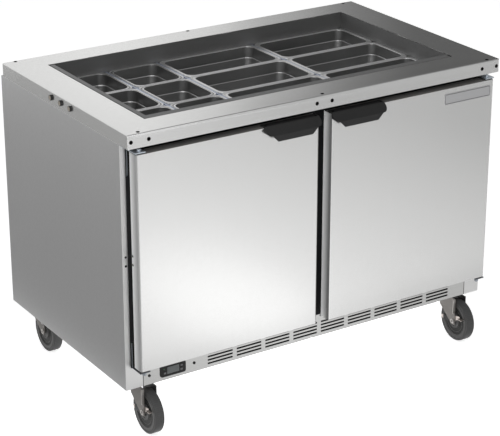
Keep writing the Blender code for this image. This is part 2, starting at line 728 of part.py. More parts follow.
def controller():
    x = BEZEL_X - HALF
    front = FACE_Y - FIT - BEZEL_THICK
    outline = rounded(BEZEL_WIDTH, BEZEL_HEIGHT, BEZEL_CORNER, 4, (x, BEZEL_Z))
    bezel = prism("bezel_outline", outline, front, FACE_Y - FIT, "Y")
    width = BEZEL_WIDTH / 2 - BODY_INSET
    height = BEZEL_HEIGHT / 2 - BODY_INSET
    low = (x - width, FACE_Y - BEZEL_THICK / 2, BEZEL_Z - height)
    join(bezel, boxes("controller_body", (low, (x + width, FACE_Y + BODY_DEPTH, BEZEL_Z + height))))
    width = DISPLAY_WIDTH / 2
    height = DISPLAY_HEIGHT / 2
    low = (x - width, front - CLEAR, BEZEL_Z - height)
    high = (x + width, front + DISPLAY_RECESS, BEZEL_Z + height)
    cut(bezel, boxes("display_recess", (low, high)))
    pockets = []
    for index, (dx, dz) in enumerate(KEY_SPOTS):
        width = KEY_WIDTH / 2
        height = KEY_HEIGHT / 2
        low = (x + dx - width, front - KEY_PROUD, BEZEL_Z + dz - height)
        high = (x + dx + width, front - KEY_PROUD + KEY_DEPTH, BEZEL_Z + dz + height)
        part(boxes("key", (low, high)), f"control_key_{index + 1}", GREY_PLASTIC)
        grow = KEY_CLEARANCE
        low = (low[0] - grow, front - CLEAR, low[2] - grow)
        pockets.append((low, (high[0] + grow, high[1] + KEY_TRAVEL + grow, high[2] + grow)))
    cut(bezel, boxes("key_pockets", *pockets))
    part(bezel, "control_bezel", BLACK_PLASTIC)


# Doors: skin, inner block, gasket and pull, all hung on the hinge line
def door_skin(side, name, hinge):
    width = DOOR_OUTER - DOOR_INNER
    half = width / 2
    radius = DOOR_RADIUS
    inner = radius - SHEET
    middle = side * (DOOR_OUTER + DOOR_INNER) / 2
    front = DOOR_FRONT_Y + radius
    outline = [(half, DOOR_BACK_Y)]
    outline += arc((half - radius, front), radius, 0, -90, 4)
    outline += arc((radius - half, front), radius, 270, 180, 4)
    outline += [(-half, DOOR_BACK_Y), (SHEET - half, DOOR_BACK_Y)]
    outline += arc((radius - half, front), inner, 180, 270, 4)
    outline += arc((half - radius, front), inner, -90, 0, 4)
    outline += [(half - SHEET, DOOR_BACK_Y)]
    outline = [(middle + x, y) for x, y in outline]
    skin = prism("skin_outline", outline, DOOR_BOTTOM, DOOR_TOP, "Z")
    part(skin, name, STAINLESS, origin=world_of(hinge), parent=hinge)


def door_block(side, name, hinge):
    edge = SHEET + FIT
    low = (side * (DOOR_INNER + edge), DOOR_FRONT_Y + edge, DOOR_BOTTOM)
    block = boxes("block", (low, (side * (DOOR_OUTER - edge), DOOR_BACK_Y, DOOR_TOP)))
    rim = block.modifiers.new("edges", "BEVEL")
    rim.width = DOOR_RADIUS - edge
    rim.segments = 3
    rim.limit_method = "WEIGHT"
    weights = block.data.attributes.new("bevel_weight_edge", "FLOAT", "EDGE")
    for edge in block.data.edges:
        ends = [block.data.vertices[i].co for i in edge.vertices]
        upright = abs(ends[0].z - ends[1].z) > DOOR_HEIGHT / 2
        in_front = ends[0].y < DOOR_FRONT_Y + DOOR_THICK / 2
        weights.data[edge.index].value = 1.0 if upright and in_front else 0.0
    bores = [(side * PIVOT_X, PIVOT_Y, z) for z in (DOOR_BOTTOM, DOOR_TOP)]
    depth = 2 * (PIN_LENGTH + PIN_CLEARANCE)
    cut(block, rods("pin_bores", PIN_RADIUS + PIN_CLEARANCE, depth, "Z", bores))
    part(block, name, GREY_PLASTIC, origin=world_of(hinge), parent=hinge)


def door_gasket(side, name, hinge):
    ends = []
    for inset in (GASKET_INSET, GASKET_INSET + GASKET_WIDTH):
        x = sorted((side * (DOOR_INNER + inset), side * (DOOR_OUTER - inset)))
        ends.append((x, (DOOR_BOTTOM + inset, DOOR_TOP - inset)))
    (x, z), (hole_x, hole_z) = ends
    low = (x[0], DOOR_BACK_Y + FIT, z[0])
    gasket = boxes("gasket", (low, (x[1], FRAME_Y - FIT, z[1])))
    low = (hole_x[0], DOOR_BACK_Y - CLEAR, hole_z[0])
    cut(gasket, boxes("gasket_hole", (low, (hole_x[1], FRAME_Y + CLEAR, hole_z[1]))))
    part(gasket, name, RUBBER, origin=world_of(hinge), parent=hinge)


def door_handle(side, name, hinge):
    x = side * (DOOR_INNER + HANDLE_FROM_EDGE)
    half = HANDLE_WIDTH / 2
    door = DOOR_FRONT_Y - FIT
    out = DOOR_FRONT_Y - HANDLE_PROUD
    crease = DOOR_TOP - HANDLE_SLOPE
    bottom = crease - HANDLE_APRON
    top = DOOR_TOP + HANDLE_THICK
    back = DOOR_FRONT_Y + HANDLE_LAP
    thick = HANDLE_THICK
    section = [(back, top), (DOOR_FRONT_Y, top), (out, crease), (out, bottom), (out + thick, bottom)]
    section += [(out + thick, crease - thick / 3), (door, DOOR_TOP - thick), (door, DOOR_TOP + FIT)]
    section += [(back, DOOR_TOP + FIT)]
    handle = prism("handle_section", section, x - half, x + half, "X")
    web = [(door, DOOR_TOP - thick / 2), (out + thick / 2, crease), (door, crease - thick)]
    for end in (-1, 1):
        near = x + end * (half - 2 * thick)
        far = x + end * (half - thick / 4)
        join(handle, prism("handle_end", web, min(near, far), max(near, far), "X"))
    radius = HANDLE_END_RADIUS
    chamfer = HANDLE_APRON_WIDTH / 2 + HANDLE_APRON
    right = [(HANDLE_APRON_WIDTH / 2, bottom - WELD), (chamfer, crease)]
    right += arc((half - radius, crease + radius), radius, -80, 0, 4)
    right += [(half - thick / 2, DOOR_TOP), (half - 1.5 * thick, top + CLEAR)]
    outline = [(x + dx, z) for dx, z in right] + [(x - dx, z) for dx, z in reversed(right)]
    low = DOOR_FRONT_Y - HANDLE_PROUD - CLEAR
    keep_inside(handle, prism("handle_front", outline, low, back + CLEAR, "Y"))
    part(handle, name, BLACK_PLASTIC, origin=world_of(hinge), parent=hinge)


# Hinge bracket: a leg on the frame, an arm over or under the door, and the pin
def hinge_bracket(side, upper, name):
    flip = 1 if upper else -1
    door_end = DOOR_TOP if upper else DOOR_BOTTOM
    near = door_end + flip * BRACKET_GAP
    far = near + flip * BRACKET_SHEET
    wall = FRAME_Y - FIT
    outer = side * (PIVOT_X + BRACKET_OUTER)
    inner = side * (PIVOT_X - BRACKET_INNER)
    front = PIVOT_Y - BRACKET_FRONT
    bracket = boxes("arm", ((outer, front, near), (inner, wall, far)))
    leg_inner = side * (PIVOT_X + BRACKET_LEG_EDGE)
    leg_end = far - flip * BRACKET_LEG
    join(bracket, boxes("leg", ((outer, wall - BRACKET_SHEET, far), (leg_inner, wall, leg_end))))
    length = PIN_LENGTH + BRACKET_GAP + BRACKET_SHEET / 2
    centre = (side * PIVOT_X, PIVOT_Y, near + flip * BRACKET_SHEET / 2 - flip * length / 2)
    join(bracket, rods("pin", PIN_RADIUS, length, "Z", [centre]))
    part(bracket, name, ZINC)


def door(side, name):
    hinge = pivot(f"{name}_hinge", (side * PIVOT_X, PIVOT_Y, DOOR_BOTTOM))
    door_skin(side, f"{name}_panel", hinge)
    door_block(side, f"{name}_liner", hinge)
    door_gasket(side, f"{name}_gasket", hinge)
    door_handle(side, f"{name}_handle", hinge)


# Caster: fork with axle and swivel head, wheel and, in front, a foot brake
def caster_fork(at, name, swivel):
    x, y = at
    axle_y = y - SWIVEL_OFFSET
    leg = arc((axle_y, WHEEL_RADIUS), LEG_EYE, 200, 320, 5)
    leg += [(axle_y + LEG_REAR, LEG_REAR_Z), (axle_y + LEG_TOP_REAR, CROWN_BOTTOM + CROWN_THICK / 2)]
    leg += [(axle_y - LEG_FRONT, CROWN_BOTTOM + CROWN_THICK / 2)]
    low = (x - LEG_OUTER + FIT, y - CROWN_FRONT, CROWN_BOTTOM)
    high = (x + LEG_OUTER - FIT, axle_y + LEG_TOP_REAR - CROWN_INSET, CROWN_BOTTOM + CROWN_THICK)
    fork = boxes("crown", (low, high))
    join(fork, prism("leg", leg, x - LEG_OUTER, x - LEG_INNER, "X"))
    join(fork, prism("leg", leg, x + LEG_INNER, x + LEG_OUTER, "X"))
    length = 2 * (LEG_OUTER + AXLE_PROUD)
    join(fork, rods("axle", AXLE_RADIUS, length, "X", [(x, axle_y, WHEEL_RADIUS)]))
    height = HEAD_TOP - CROWN_BOTTOM - CROWN_THICK / 2
    join(fork, rods("head", HEAD_RADIUS, height, "Z", [(x, y, HEAD_TOP - height / 2)], 24))
    part(fork, name, FORK_STEEL, origin=world_of(swivel), parent=swivel)


def caster_wheel(name, axle):
    rim = WHEEL_RADIUS / math.cos(math.pi / WHEEL_STEPS)
    bore = AXLE_RADIUS + AXLE_CLEARANCE
    side = [(bore, HUB_HALF), (HUB_RADIUS, HUB_HALF), (HUB_RADIUS + HUB_SLOPE, TYRE_HALF - DISH_DEPTH)]
    side += [(DISH_RADIUS, TYRE_HALF - DISH_DEPTH), (DISH_RADIUS + DISH_SLOPE, TYRE_HALF)]
    side += [(rim - TREAD_ROUND, TYRE_HALF), (rim, TYRE_HALF - TREAD_ROUND)]
    profile = side + [(radius, -height) for radius, height in reversed(side)]
    wheel = turned("wheel", profile, world_of(axle), "X", WHEEL_STEPS, True)
    part(wheel, name, GREY_PLASTIC, origin=world_of(axle), parent=axle)
    wheel.rotation_euler.rotate_axis("Z", math.pi / WHEEL_STEPS)


def brake_lever(name, axle):
    x, y, z = world_of(axle)
    outer = x - LEG_INNER + BRAKE_GAP
    inner = outer + BRAKE_SHEET
    outline = arc((y, z), BRAKE_EYE, 250, 300, 3)
    outline += [(y + dy, z + dz) for dy, dz in BRAKE_TAIL + BRAKE_NOSE]
    lever = prism("lever_outline", outline, outer, inner, "X")
    low = (x - LEG_OUTER - PEDAL_OUT, y - PEDAL_FRONT, z + PEDAL_LIFT)
    high = (inner + BRAKE_GAP, y - PEDAL_BACK, z + PEDAL_LIFT + PEDAL_SHEET)
    join(lever, boxes("pedal", (low, high)))
    bore = AXLE_RADIUS + AXLE_CLEARANCE
    cut(lever, rods("lever_bore", bore, CLEAR, "X", [(x - LEG_INNER, y, z)]))
    part(lever, name, BRAKE_STEEL, origin=world_of(axle), parent=axle)


def caster(name, side, setback, braked):
    at = (side * CASTER_X, FRONT_Y + setback)
    swivel = pivot(f"{name}_swivel", (*at, HEAD_TOP))
    axle = pivot(f"{name}_axle", (at[0], at[1] - SWIVEL_OFFSET, WHEEL_RADIUS), swivel)
    caster_fork(at, f"{name}_caster_fork", swivel)
    caster_wheel(f"{name}_caster_wheel", axle)
    if braked:
        brake_lever(f"{name}_brake_lever", axle)


# Wire shelves on the lugs of the front frame and on the machine step
def wire_shelf(side, name):
    outer = LINER_X - SHELF_MARGIN
    inner = SHELF_MARGIN
    front = LINER_Y0 + SHELF_FRONT
    back = LINER_Y1 - COIL_DEPTH - SHELF_BACK
    shape = bmesh.new()
    size = Matrix.Diagonal(((outer - inner) / 2, (back - front) / 2, 1, 1))
    bmesh.ops.create_grid(shape, x_segments=9, y_segments=4, size=1, matrix=size)
    shelf = helper(name, shape)
    wire = shelf.modifiers.new("wires", "WIREFRAME")
    wire.thickness = SHELF_WIRE
    wire.use_even_offset = False
    wire.use_boundary = True
    at = (side * (outer + inner) / 2, (front + back) / 2, SHELF_Z + SHELF_WIRE / 2)
    shelf.location = at
    part(shelf, name, ALUMINIUM, origin=at)


# Fan: four pitched blades on a bored hub
def fan(name, at):
    hub = rods("hub", FAN_HUB_RADIUS, FAN_HUB_LENGTH, "Y", [at], 16)
    span = FAN_RADIUS - FAN_HUB_RADIUS / 2
    for index in range(4):
        shape = bmesh.new()
        place = Matrix.Translation(at) @ Matrix.Rotation(index * math.pi / 2, 4, "Y")
        place = place @ Matrix.Translation((FAN_RADIUS - span / 2, 0, 0))
        place = place @ Matrix.Rotation(BLADE_PITCH, 4, "X")
        size = Matrix.Diagonal((span, BLADE_SHEET, BLADE_CHORD, 1))
        bmesh.ops.create_cube(shape, size=1, matrix=place @ size)
        join(hub, helper("blade", shape))
    bore = SHAFT_RADIUS + SHAFT_CLEARANCE
    cut(hub, rods("fan_bore", bore, FAN_HUB_LENGTH + CLEAR, "Y", [at]))
    part(hub, name, GREY_PLASTIC, origin=at)


def evaporator():
    back = LINER_Y1 - FIT
    front = back - COIL_DEPTH
    coil = boxes("coil", ((-COIL_HALF, front, COIL_BOTTOM), (COIL_HALF, back, COIL_TOP)))
    recess = FAN_HUB_LENGTH + RECESS_BEHIND_FAN
    z = (COIL_BOTTOM + COIL_TOP) / 2
    cut(coil, rods("fan_recess", FAN_RECESS, 2 * recess, "Y", [(0, front, z)], 32))
    shaft = recess + CLEAR - SHAFT_SETBACK
    centre = (0, front + SHAFT_SETBACK + shaft / 2, z)
    join(coil, rods("shaft", SHAFT_RADIUS, shaft, "Y", [centre]))
    part(coil, "evaporator_coil", ALUMINIUM)
    fan("evaporator_fan", (0, front + FAN_SETBACK + FAN_HUB_LENGTH / 2, z))


# Condensing unit: coil, fan motor and compressor on one tray
def condensing_unit():
    floor = BASE_TOP + FIT
    seat = floor + TRAY_SHEET / 2
    front = MACHINE_Y + CONDENSER_SETBACK
    back = front + CONDENSER_DEPTH
    foot = max(radius for radius, height in COMPRESSOR_FOOT) + TRAY_MARGIN
    at = (COMPRESSOR_X, MACHINE_Y + COMPRESSOR_SETBACK, seat)
    low = (CONDENSER_X0 - TRAY_MARGIN, front - TRAY_MARGIN, floor)
    unit = boxes("tray", (low, (at[0] + foot, at[1] + foot, floor + TRAY_SHEET)))
    high = (CONDENSER_X1, back, floor + CONDENSER_HEIGHT)
    join(unit, boxes("coil", ((CONDENSER_X0, front, seat), high)))
    x = (CONDENSER_X0 + CONDENSER_X1) / 2
    z = floor + CONDENSER_HEIGHT / 2
    join(unit, rods("motor", MOTOR_RADIUS, 2 * MOTOR_LENGTH, "Y", [(x, back, z)], 16))
    shaft = MOTOR_LENGTH + FAN_HUB_LENGTH + SHAFT_SETBACK
    join(unit, rods("shaft", SHAFT_RADIUS, shaft, "Y", [(x, back + shaft / 2, z)]))
    join(unit, turned("pot", COMPRESSOR_DOME + COMPRESSOR_FOOT, at, "Z", 24, False))
    part(unit, "condensing_unit", BLACK_PAINT)
    fan("condenser_fan", (x, back + MOTOR_LENGTH + FAN_STANDOFF + FAN_HUB_LENGTH / 2, z))


side_panel(-1, "left_side_panel")
side_panel(1, "right_side_panel")
back_panel()
base_pan()
insulated_side(-1, "insulated_left_wall")
insulated_side(1, "insulated_right_wall")
insulated_floor()
insulated_step()
insulated_back()
front_frame()
top_deck()
well_collar()
divider_bars()
food_pans()
front_grille()
controller()
door(-1, "left_door")
door(1, "right_door")
hinge_bracket(-1, True, "hinge_upper_left")
hinge_bracket(-1, False, "hinge_lower_left")
hinge_bracket(1, True, "hinge_upper_right")
hinge_bracket(1, False, "hinge_lower_right")
caster("front_left", -1, CASTER_FRONT, True)
caster("front_right", 1, CASTER_FRONT, True)
caster("rear_left", -1, CASTER_BACK, False)
caster("rear_right", 1, CASTER_BACK, False)
wire_shelf(-1, "left_shelf")
wire_shelf(1, "right_shelf")
evaporator()
condensing_unit()
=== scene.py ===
import json
import math

import bmesh
import bpy
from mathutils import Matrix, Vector


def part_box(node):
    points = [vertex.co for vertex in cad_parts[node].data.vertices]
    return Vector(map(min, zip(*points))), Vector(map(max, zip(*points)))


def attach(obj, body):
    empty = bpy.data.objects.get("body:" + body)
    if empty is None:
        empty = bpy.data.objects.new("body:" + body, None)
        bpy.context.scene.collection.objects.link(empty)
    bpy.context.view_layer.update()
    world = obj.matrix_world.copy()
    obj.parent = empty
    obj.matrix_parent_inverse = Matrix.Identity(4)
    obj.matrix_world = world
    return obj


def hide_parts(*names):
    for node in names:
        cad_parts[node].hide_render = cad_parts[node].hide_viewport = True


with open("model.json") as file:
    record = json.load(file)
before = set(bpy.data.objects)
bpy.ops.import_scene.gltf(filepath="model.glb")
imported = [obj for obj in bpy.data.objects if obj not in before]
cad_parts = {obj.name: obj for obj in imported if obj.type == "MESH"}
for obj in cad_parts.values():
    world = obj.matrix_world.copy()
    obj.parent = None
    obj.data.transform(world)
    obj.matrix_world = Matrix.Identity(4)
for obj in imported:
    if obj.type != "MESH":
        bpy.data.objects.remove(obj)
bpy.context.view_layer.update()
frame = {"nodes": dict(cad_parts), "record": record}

nodes = frame["nodes"]
hair = 0.0001  # slack for finding faces, edges and corners by their place
bothSides = (("left", -1), ("right", 1))  # with the sign of X
print("frame loaded,", len(nodes), "nodes")


# selection and editing helpers
def deselectAll():
    if bpy.context.mode != "OBJECT":
        bpy.ops.object.mode_set(mode="OBJECT")
    bpy.ops.object.select_all(action="DESELECT")


def makeActive(piece):
    deselectAll()
    piece.select_set(True)
    bpy.context.view_layer.objects.active = piece


# puts the active piece's place, turn and size into its mesh
def bakePlace():
    bpy.ops.object.transform_apply(location=True, rotation=True, scale=True)


def choose(piece, kind, test):
    if bpy.context.mode != "EDIT_MESH":
        makeActive(piece)
        bpy.ops.object.mode_set(mode="EDIT")
    bpy.ops.mesh.select_mode(type=kind)
    bpy.ops.mesh.select_all(action="DESELECT")
    shape = bmesh.from_edit_mesh(piece.data)
    found = {"FACE": shape.faces, "EDGE": shape.edges, "VERT": shape.verts}[kind]
    for item in found:
        if test(item):
            item.select_set(True)
    shape.select_flush_mode()
    bmesh.update_edit_mesh(piece.data)


def selectEverything(piece):
    choose(piece, "VERT", lambda vert: True)


def middle(item):
    return sum((vert.co for vert in item.verts), Vector()) / len(item.verts)


def fixNormals(piece):
    selectEverything(piece)
    bpy.ops.mesh.normals_make_consistent(inside=False)


def inset(thickness, depth=0.0):
    bpy.ops.mesh.inset(thickness=thickness, depth=depth, use_even_offset=True)


# a rim, then a slope down to a sunk middle
def dish(rim, slope, depth):
    inset(rim)
    inset(slope, -depth)


def chooseFront(piece):
    choose(piece, "FACE", lambda face: face.normal.y < -0.9)


def extrude(move):
    bpy.ops.mesh.extrude_region_move(TRANSFORM_OT_translate={"value": move})


def roundEdges(offset, segments=3):
    bpy.ops.mesh.bevel(offset=offset, segments=segments, affect="EDGES", clamp_overlap=True)


def smooth(piece, angle=35):
    makeActive(piece)
    bpy.ops.object.shade_smooth_by_angle(angle=math.radians(angle))


def applyModifier(piece, kind, **settings):
    makeActive(piece)
    step = piece.modifiers.new(kind.lower(), kind)
    for key, value in settings.items():
        setattr(step, key, value)
    bpy.ops.object.modifier_apply(modifier=step.name)


def softEdges(piece, width, segments=2, angle=30):
    applyModifier(piece, "BEVEL", width=width, segments=segments, limit_method="ANGLE",
                  angle_limit=math.radians(angle), use_clamp_overlap=True, face_strength_mode="FSTR_ALL")
    smooth(piece)
    applyModifier(piece, "WEIGHTED_NORMAL", weight=100, thresh=0, keep_sharp=True,  # flat sheets stay flat
                  use_face_influence=True)


def addBlock(name, low, high):
    deselectAll()
    low = Vector(low)
    high = Vector(high)
    bpy.ops.mesh.primitive_cube_add(size=1, location=(low + high) / 2)
    piece = bpy.context.object
    piece.name = name
    bpy.ops.transform.resize(value=high - low)
    bakePlace()
    return piece


# a round bar along X, Y or Z, its place baked into the mesh
def addRod(name, radius, length, axis, centre, sides=24):
    deselectAll()
    turn = {"X": (0, math.pi / 2, 0), "Y": (math.pi / 2, 0, 0), "Z": (0, 0, 0)}[axis]
    bpy.ops.mesh.primitive_cylinder_add(vertices=sides, radius=radius, depth=length,
                                        location=centre, rotation=turn)
    piece = bpy.context.object
    piece.name = name
    bakePlace()
    return piece


# the CAD node's shape as whole faces, plain or with its sharp edges rounded
def plainCopy(nodeName, name):
    piece = bpy.data.objects.new(name, nodes[nodeName].data.copy())
    bpy.context.scene.collection.objects.link(piece)
    selectEverything(piece)
    bpy.ops.mesh.remove_doubles(threshold=0.2 * hair)
    bpy.ops.mesh.tris_convert_to_quads(face_threshold=math.radians(1), shape_threshold=math.pi)
    bpy.ops.mesh.normals_make_consistent(inside=False)
    return piece


def softCopy(nodeName, name, width, segments=2, angle=30):
    piece = plainCopy(nodeName, name)
    softEdges(piece, width, segments, angle)
    return piece


# gives the faces that pass a test one more look
def paintAlso(piece, look, test):
    piece.data.materials.append(look)
    for face in piece.data.polygons:
        if test(face):
            face.material_index = len(piece.data.materials) - 1


# a piece in one look, with a second on the faces that pass a test
def paint(piece, first, second, test):
    piece.data.materials.clear()
    piece.data.materials.append(first)
    for face in piece.data.polygons:
        face.material_index = 0
    paintAlso(piece, second, test)


def copyPiece(source, name, move=(0, 0, 0), flip=None):
    makeActive(source)
    bpy.ops.object.duplicate(linked=False)
    piece = bpy.context.object
    piece.name = name
    if flip:
        bpy.ops.transform.resize(value=flip, center_override=(0, 0, 0))
        bakePlace()
        fixNormals(piece)
        makeActive(piece)
    bpy.ops.transform.translate(value=move)
    bakePlace()
    return piece


def joinPieces(first, *others):
    makeActive(first)
    for other in others:
        other.select_set(True)
    bpy.ops.object.join()
    return first


def finishPiece(piece, look, body, slotName, *standsFor):
    makeActive(piece)
    bakePlace()
    if look:
        piece.data.materials.clear()
        piece.data.materials.append(look)
    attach(piece, body)
    if standsFor:
        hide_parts(*standsFor)


# a CAD node's shape with rounded edges, finished in one look
def softPiece(nodeName, name, width, look, body, slotName, segments=2, angle=30):
    piece = softCopy(nodeName, name, width, segments, angle)
    finishPiece(piece, look, body, slotName, nodeName)


# sets inputs of a shader node by name
def setInputs(node, values):
    for key, value in values.items():
        node.inputs[key].default_value = value
    return node


# shader groups shared by the materials: each takes one setting and puts out one mask
def newGroup(name, setting, kind, value):
    group = bpy.data.node_groups.new(name, "ShaderNodeTree")
    socket = group.interface.new_socket(name=setting, in_out="INPUT", socket_type=kind)
    socket.default_value = value
    group.interface.new_socket(name="Fac", in_out="OUTPUT", socket_type="NodeSocketFloat")
    add, link = group.nodes.new, group.links.new
    given = add("NodeGroupInput").outputs[setting]
    put = add("NodeGroupOutput").inputs["Fac"]
    place = add("ShaderNodeTexCoord").outputs["Object"]
    return group, add, link, given, put, place


# long fine lines along one axis, from stretched noise
def makeGrainGroup():
    group, add, link, given, put, place = newGroup("brushGrain", "Stretch", "NodeSocketVector", (4, 900, 900))
    mapping = add("ShaderNodeMapping")
    noise = setInputs(add("ShaderNodeTexNoise"), {"Scale": 1, "Detail": 3})
    link(place, mapping.inputs["Vector"])
    link(given, mapping.inputs["Scale"])
    link(mapping.outputs["Vector"], noise.inputs["Vector"])
    link(noise.outputs["Fac"], put)
    return group


# a mask straight from one texture
def makeTextureGroup(name, scale, kind, **values):
    group, add, link, given, put, place = newGroup(name, "Scale", "NodeSocketFloat", scale)
    texture = setInputs(add(kind), values)
    link(place, texture.inputs["Vector"])
    link(given, texture.inputs["Scale"])
    link(texture.outputs["Fac"], put)
    return group


# a mask of outer edges, broken up by noise
def makeWearGroup():
    group, add, link, given, put, place = newGroup("edgeWear", "Breakup", "NodeSocketFloat", 90.0)
    shape = add("ShaderNodeNewGeometry")
    ramp = setInputs(add("ShaderNodeMapRange"), {"From Min": 0.52, "From Max": 0.6})
    noise = add("ShaderNodeTexNoise")
    times = add("ShaderNodeMath")
    times.operation = "MULTIPLY"
    link(shape.outputs["Pointiness"], ramp.inputs["Value"])
    link(place, noise.inputs["Vector"])
    link(given, noise.inputs["Scale"])
    link(ramp.outputs["Result"], times.inputs[0])
    link(noise.outputs["Fac"], times.inputs[1])
    link(times.outputs["Value"], put)
    return group


# crystal patches of zinc plating
def makeSpangleGroup():
    group, add, link, given, put, place = newGroup("spangle", "Scale", "NodeSocketFloat", 260.0)
    cells = add("ShaderNodeTexVoronoi")
    grey = add("ShaderNodeRGBToBW")
    link(place, cells.inputs["Vector"])
    link(given, cells.inputs["Scale"])
    link(cells.outputs["Color"], grey.inputs["Color"])
    link(grey.outputs["Val"], put)
    return group


grainGroup = makeGrainGroup()
wearGroup = makeWearGroup()
spangleGroup = makeSpangleGroup()
# cloudy patches, such as wiped fingerprints or moulding unevenness, and close even lines across X
patchGroup = makeTextureGroup("softPatches", 4.0, "ShaderNodeTexNoise", Detail=5, Roughness=0.6)
finGroup = makeTextureGroup("finLines", 100.0, "ShaderNodeTexWave")


def newLook(name, metallic):
    look = bpy.data.materials.new(name)
    look.use_nodes = True
    tree = look.node_tree
    return look, tree, setInputs(tree.nodes["Principled BSDF"], {"Metallic": metallic})


def useGroup(tree, group, **values):
    node = tree.nodes.new("ShaderNodeGroup")
    node.node_tree = group
    return setInputs(node, values).outputs[0]


# spreads a mask between two values
def spread(tree, fac, low, high):
    node = tree.nodes.new("ShaderNodeMapRange")
    setInputs(node, {"From Min": 0.3, "From Max": 0.7, "To Min": low, "To Max": high})
    tree.links.new(fac, node.inputs["Value"])
    return node.outputs["Result"]


# blends two colours by a mask; a colour is given as numbers or as a socket
def mixColours(tree, fac, first, second):
    node = tree.nodes.new("ShaderNodeMix")
    node.data_type = "RGBA"
    tree.links.new(fac, node.inputs["Factor"])
    for socket, value in ((node.inputs[6], first), (node.inputs[7], second)):
        if isinstance(value, tuple):
            socket.default_value = (*value, 1)
        else:
            tree.links.new(value, socket)
    return node.outputs[2]


# a mask that rises from one place along Y to another
def fadeAlongY(tree, start, end):
    place = tree.nodes.new("ShaderNodeTexCoord")
    split = tree.nodes.new("ShaderNodeSeparateXYZ")
    fade = tree.nodes.new("ShaderNodeMapRange")
    setInputs(fade, {"From Min": start, "From Max": end})
    tree.links.new(place.outputs["Object"], split.inputs["Vector"])
    tree.links.new(split.outputs["Y"], fade.inputs["Value"])
    return fade.outputs["Result"]


def addBump(tree, shader, height, strength, distance):
    node = setInputs(tree.nodes.new("ShaderNodeBump"), {"Strength": strength, "Distance": distance})
    tree.links.new(height, node.inputs["Height"])
    tree.links.new(node.outputs["Normal"], shader.inputs["Normal"])


# steel with brushed lines: stretch sets their direction; the last setting fades the steel to a painted shade
# along Y
def makeSteel(name, colour, rough, stretch, grainDepth=0.012, patchy=0.02, metallic=1.0, paintedShade=None):
    look, tree, shader = newLook(name, metallic)
    link = tree.links.new
    grain = useGroup(tree, grainGroup, Stretch=stretch)
    patch = useGroup(tree, patchGroup, Scale=3.0)
    wear = useGroup(tree, wearGroup)
    dull = tuple(part * 0.975 for part in colour)
    bright = tuple(min(part * 1.12, 0.97) for part in colour)
    base = mixColours(tree, spread(tree, grain, 0, 1), dull, colour)
    tint = mixColours(tree, wear, base, bright)
    if paintedShade:
        tint = mixColours(tree, fadeAlongY(tree, *paintedShade[:2]), tint, paintedShade[2])
    link(tint, shader.inputs["Base Color"])
    add = tree.nodes.new("ShaderNodeMath")
    add.operation = "ADD"
    link(spread(tree, grain, rough - 0.015, rough + 0.015), add.inputs[0])
    link(spread(tree, patch, -patchy, patchy), add.inputs[1])
    link(add.outputs["Value"], shader.inputs["Roughness"])
    addBump(tree, shader, grain, grainDepth, 0.0004)
    return look


# moulded plastic or rubber with a fine speckle
def makePlastic(name, colour, rough, speckle=500.0, depth=0.08, worn=1.5, shine=0.3):
    look, tree, shader = newLook(name, 0.0)
    shader.inputs["Specular IOR Level"].default_value = shine
    link = tree.links.new
    grit = useGroup(tree, patchGroup, Scale=speckle)
    patch = useGroup(tree, patchGroup, Scale=6.0)
    wear = useGroup(tree, wearGroup)
    pale = tuple(part * 1.25 for part in colour)
    edge = tuple(part * worn for part in colour)
    base = mixColours(tree, spread(tree, patch, 0, 1), colour, pale)
    link(mixColours(tree, wear, base, edge), shader.inputs["Base Color"])
    link(spread(tree, patch, rough - 0.06, rough + 0.06), shader.inputs["Roughness"])
    addBump(tree, shader, grit, depth, 0.0003)
    return look


# zinc or plated steel with spangle; shade darkens it along Y, the same way makeSteel fades steel to its
# painted shade
def makePlated(name, colour, rough, scale=260.0, shade=None):
    look, tree, shader = newLook(name, 1.0)
    link = tree.links.new
    cells = useGroup(tree, spangleGroup, Scale=scale)
    wear = useGroup(tree, wearGroup)
    dark = tuple(part * 0.8 for part in colour)
    bright = tuple(min(part * 1.3, 0.95) for part in colour)
    base = mixColours(tree, cells, dark, colour)
    tint = mixColours(tree, wear, base, bright)
    if shade:
        tint = mixColours(tree, fadeAlongY(tree, *shade[:2]), tint, shade[2])
    link(tint, shader.inputs["Base Color"])
    link(spread(tree, cells, rough - 0.05, rough + 0.08), shader.inputs["Roughness"])
    addBump(tree, shader, cells, 0.03, 0.0002)
    return look


# thin metal fins, with the gaps between them painted dark: painted shade
def makeFins(name, dark, light, rough, scale):
    look, tree, shader = newLook(name, 1.0)
    lines = useGroup(tree, finGroup, Scale=scale)
    patch = useGroup(tree, patchGroup, Scale=20.0)
    tree.links.new(mixColours(tree, lines, dark, light), shader.inputs["Base Color"])
    tree.links.new(spread(tree, patch, rough - 0.05, rough + 0.05), shader.inputs["Roughness"])
    addBump(tree, shader, lines, 0.6, 0.0015)
    return look


alongX = (3, 700, 700)
alongY = (700, 3, 700)
alongZ = (700, 700, 3)
outerEdgeShade = (-0.3284, -0.3600, (0.36, 0.36, 0.36))  # painted shade on the doors' side faces: where it starts and ends along Y, and its colour
gapEdgeShade = (-0.3340, -0.3610, (0.10, 0.10, 0.10))
armShade = (-0.2600, -0.2660, (0.05, 0.05, 0.05))
# copies of one stainless steel in different tones for fascia, grille, deck, posts and sides: painted light
# and painted shade
fasciaSteel = makeSteel("fasciaSteel", (0.95, 0.95, 0.94), 0.13, alongX, 0.003, 0.01)
grilleShadeSteel = makeSteel("grilleShadeSteel", (0.74, 0.74, 0.73), 0.16, alongX, 0.003, 0.01)
deckSteel = makeSteel("deckSteel", (0.84, 0.84, 0.83), 0.22, alongX, 0.0006, 0.01)
doorSteel = makeSteel("doorSteel", (0.90, 0.90, 0.89), 0.22, alongZ, 0.004, 0.01)
postSteel = makeSteel("postSteel", (0.92, 0.92, 0.91), 0.34, alongZ, 0.004, 0.01)
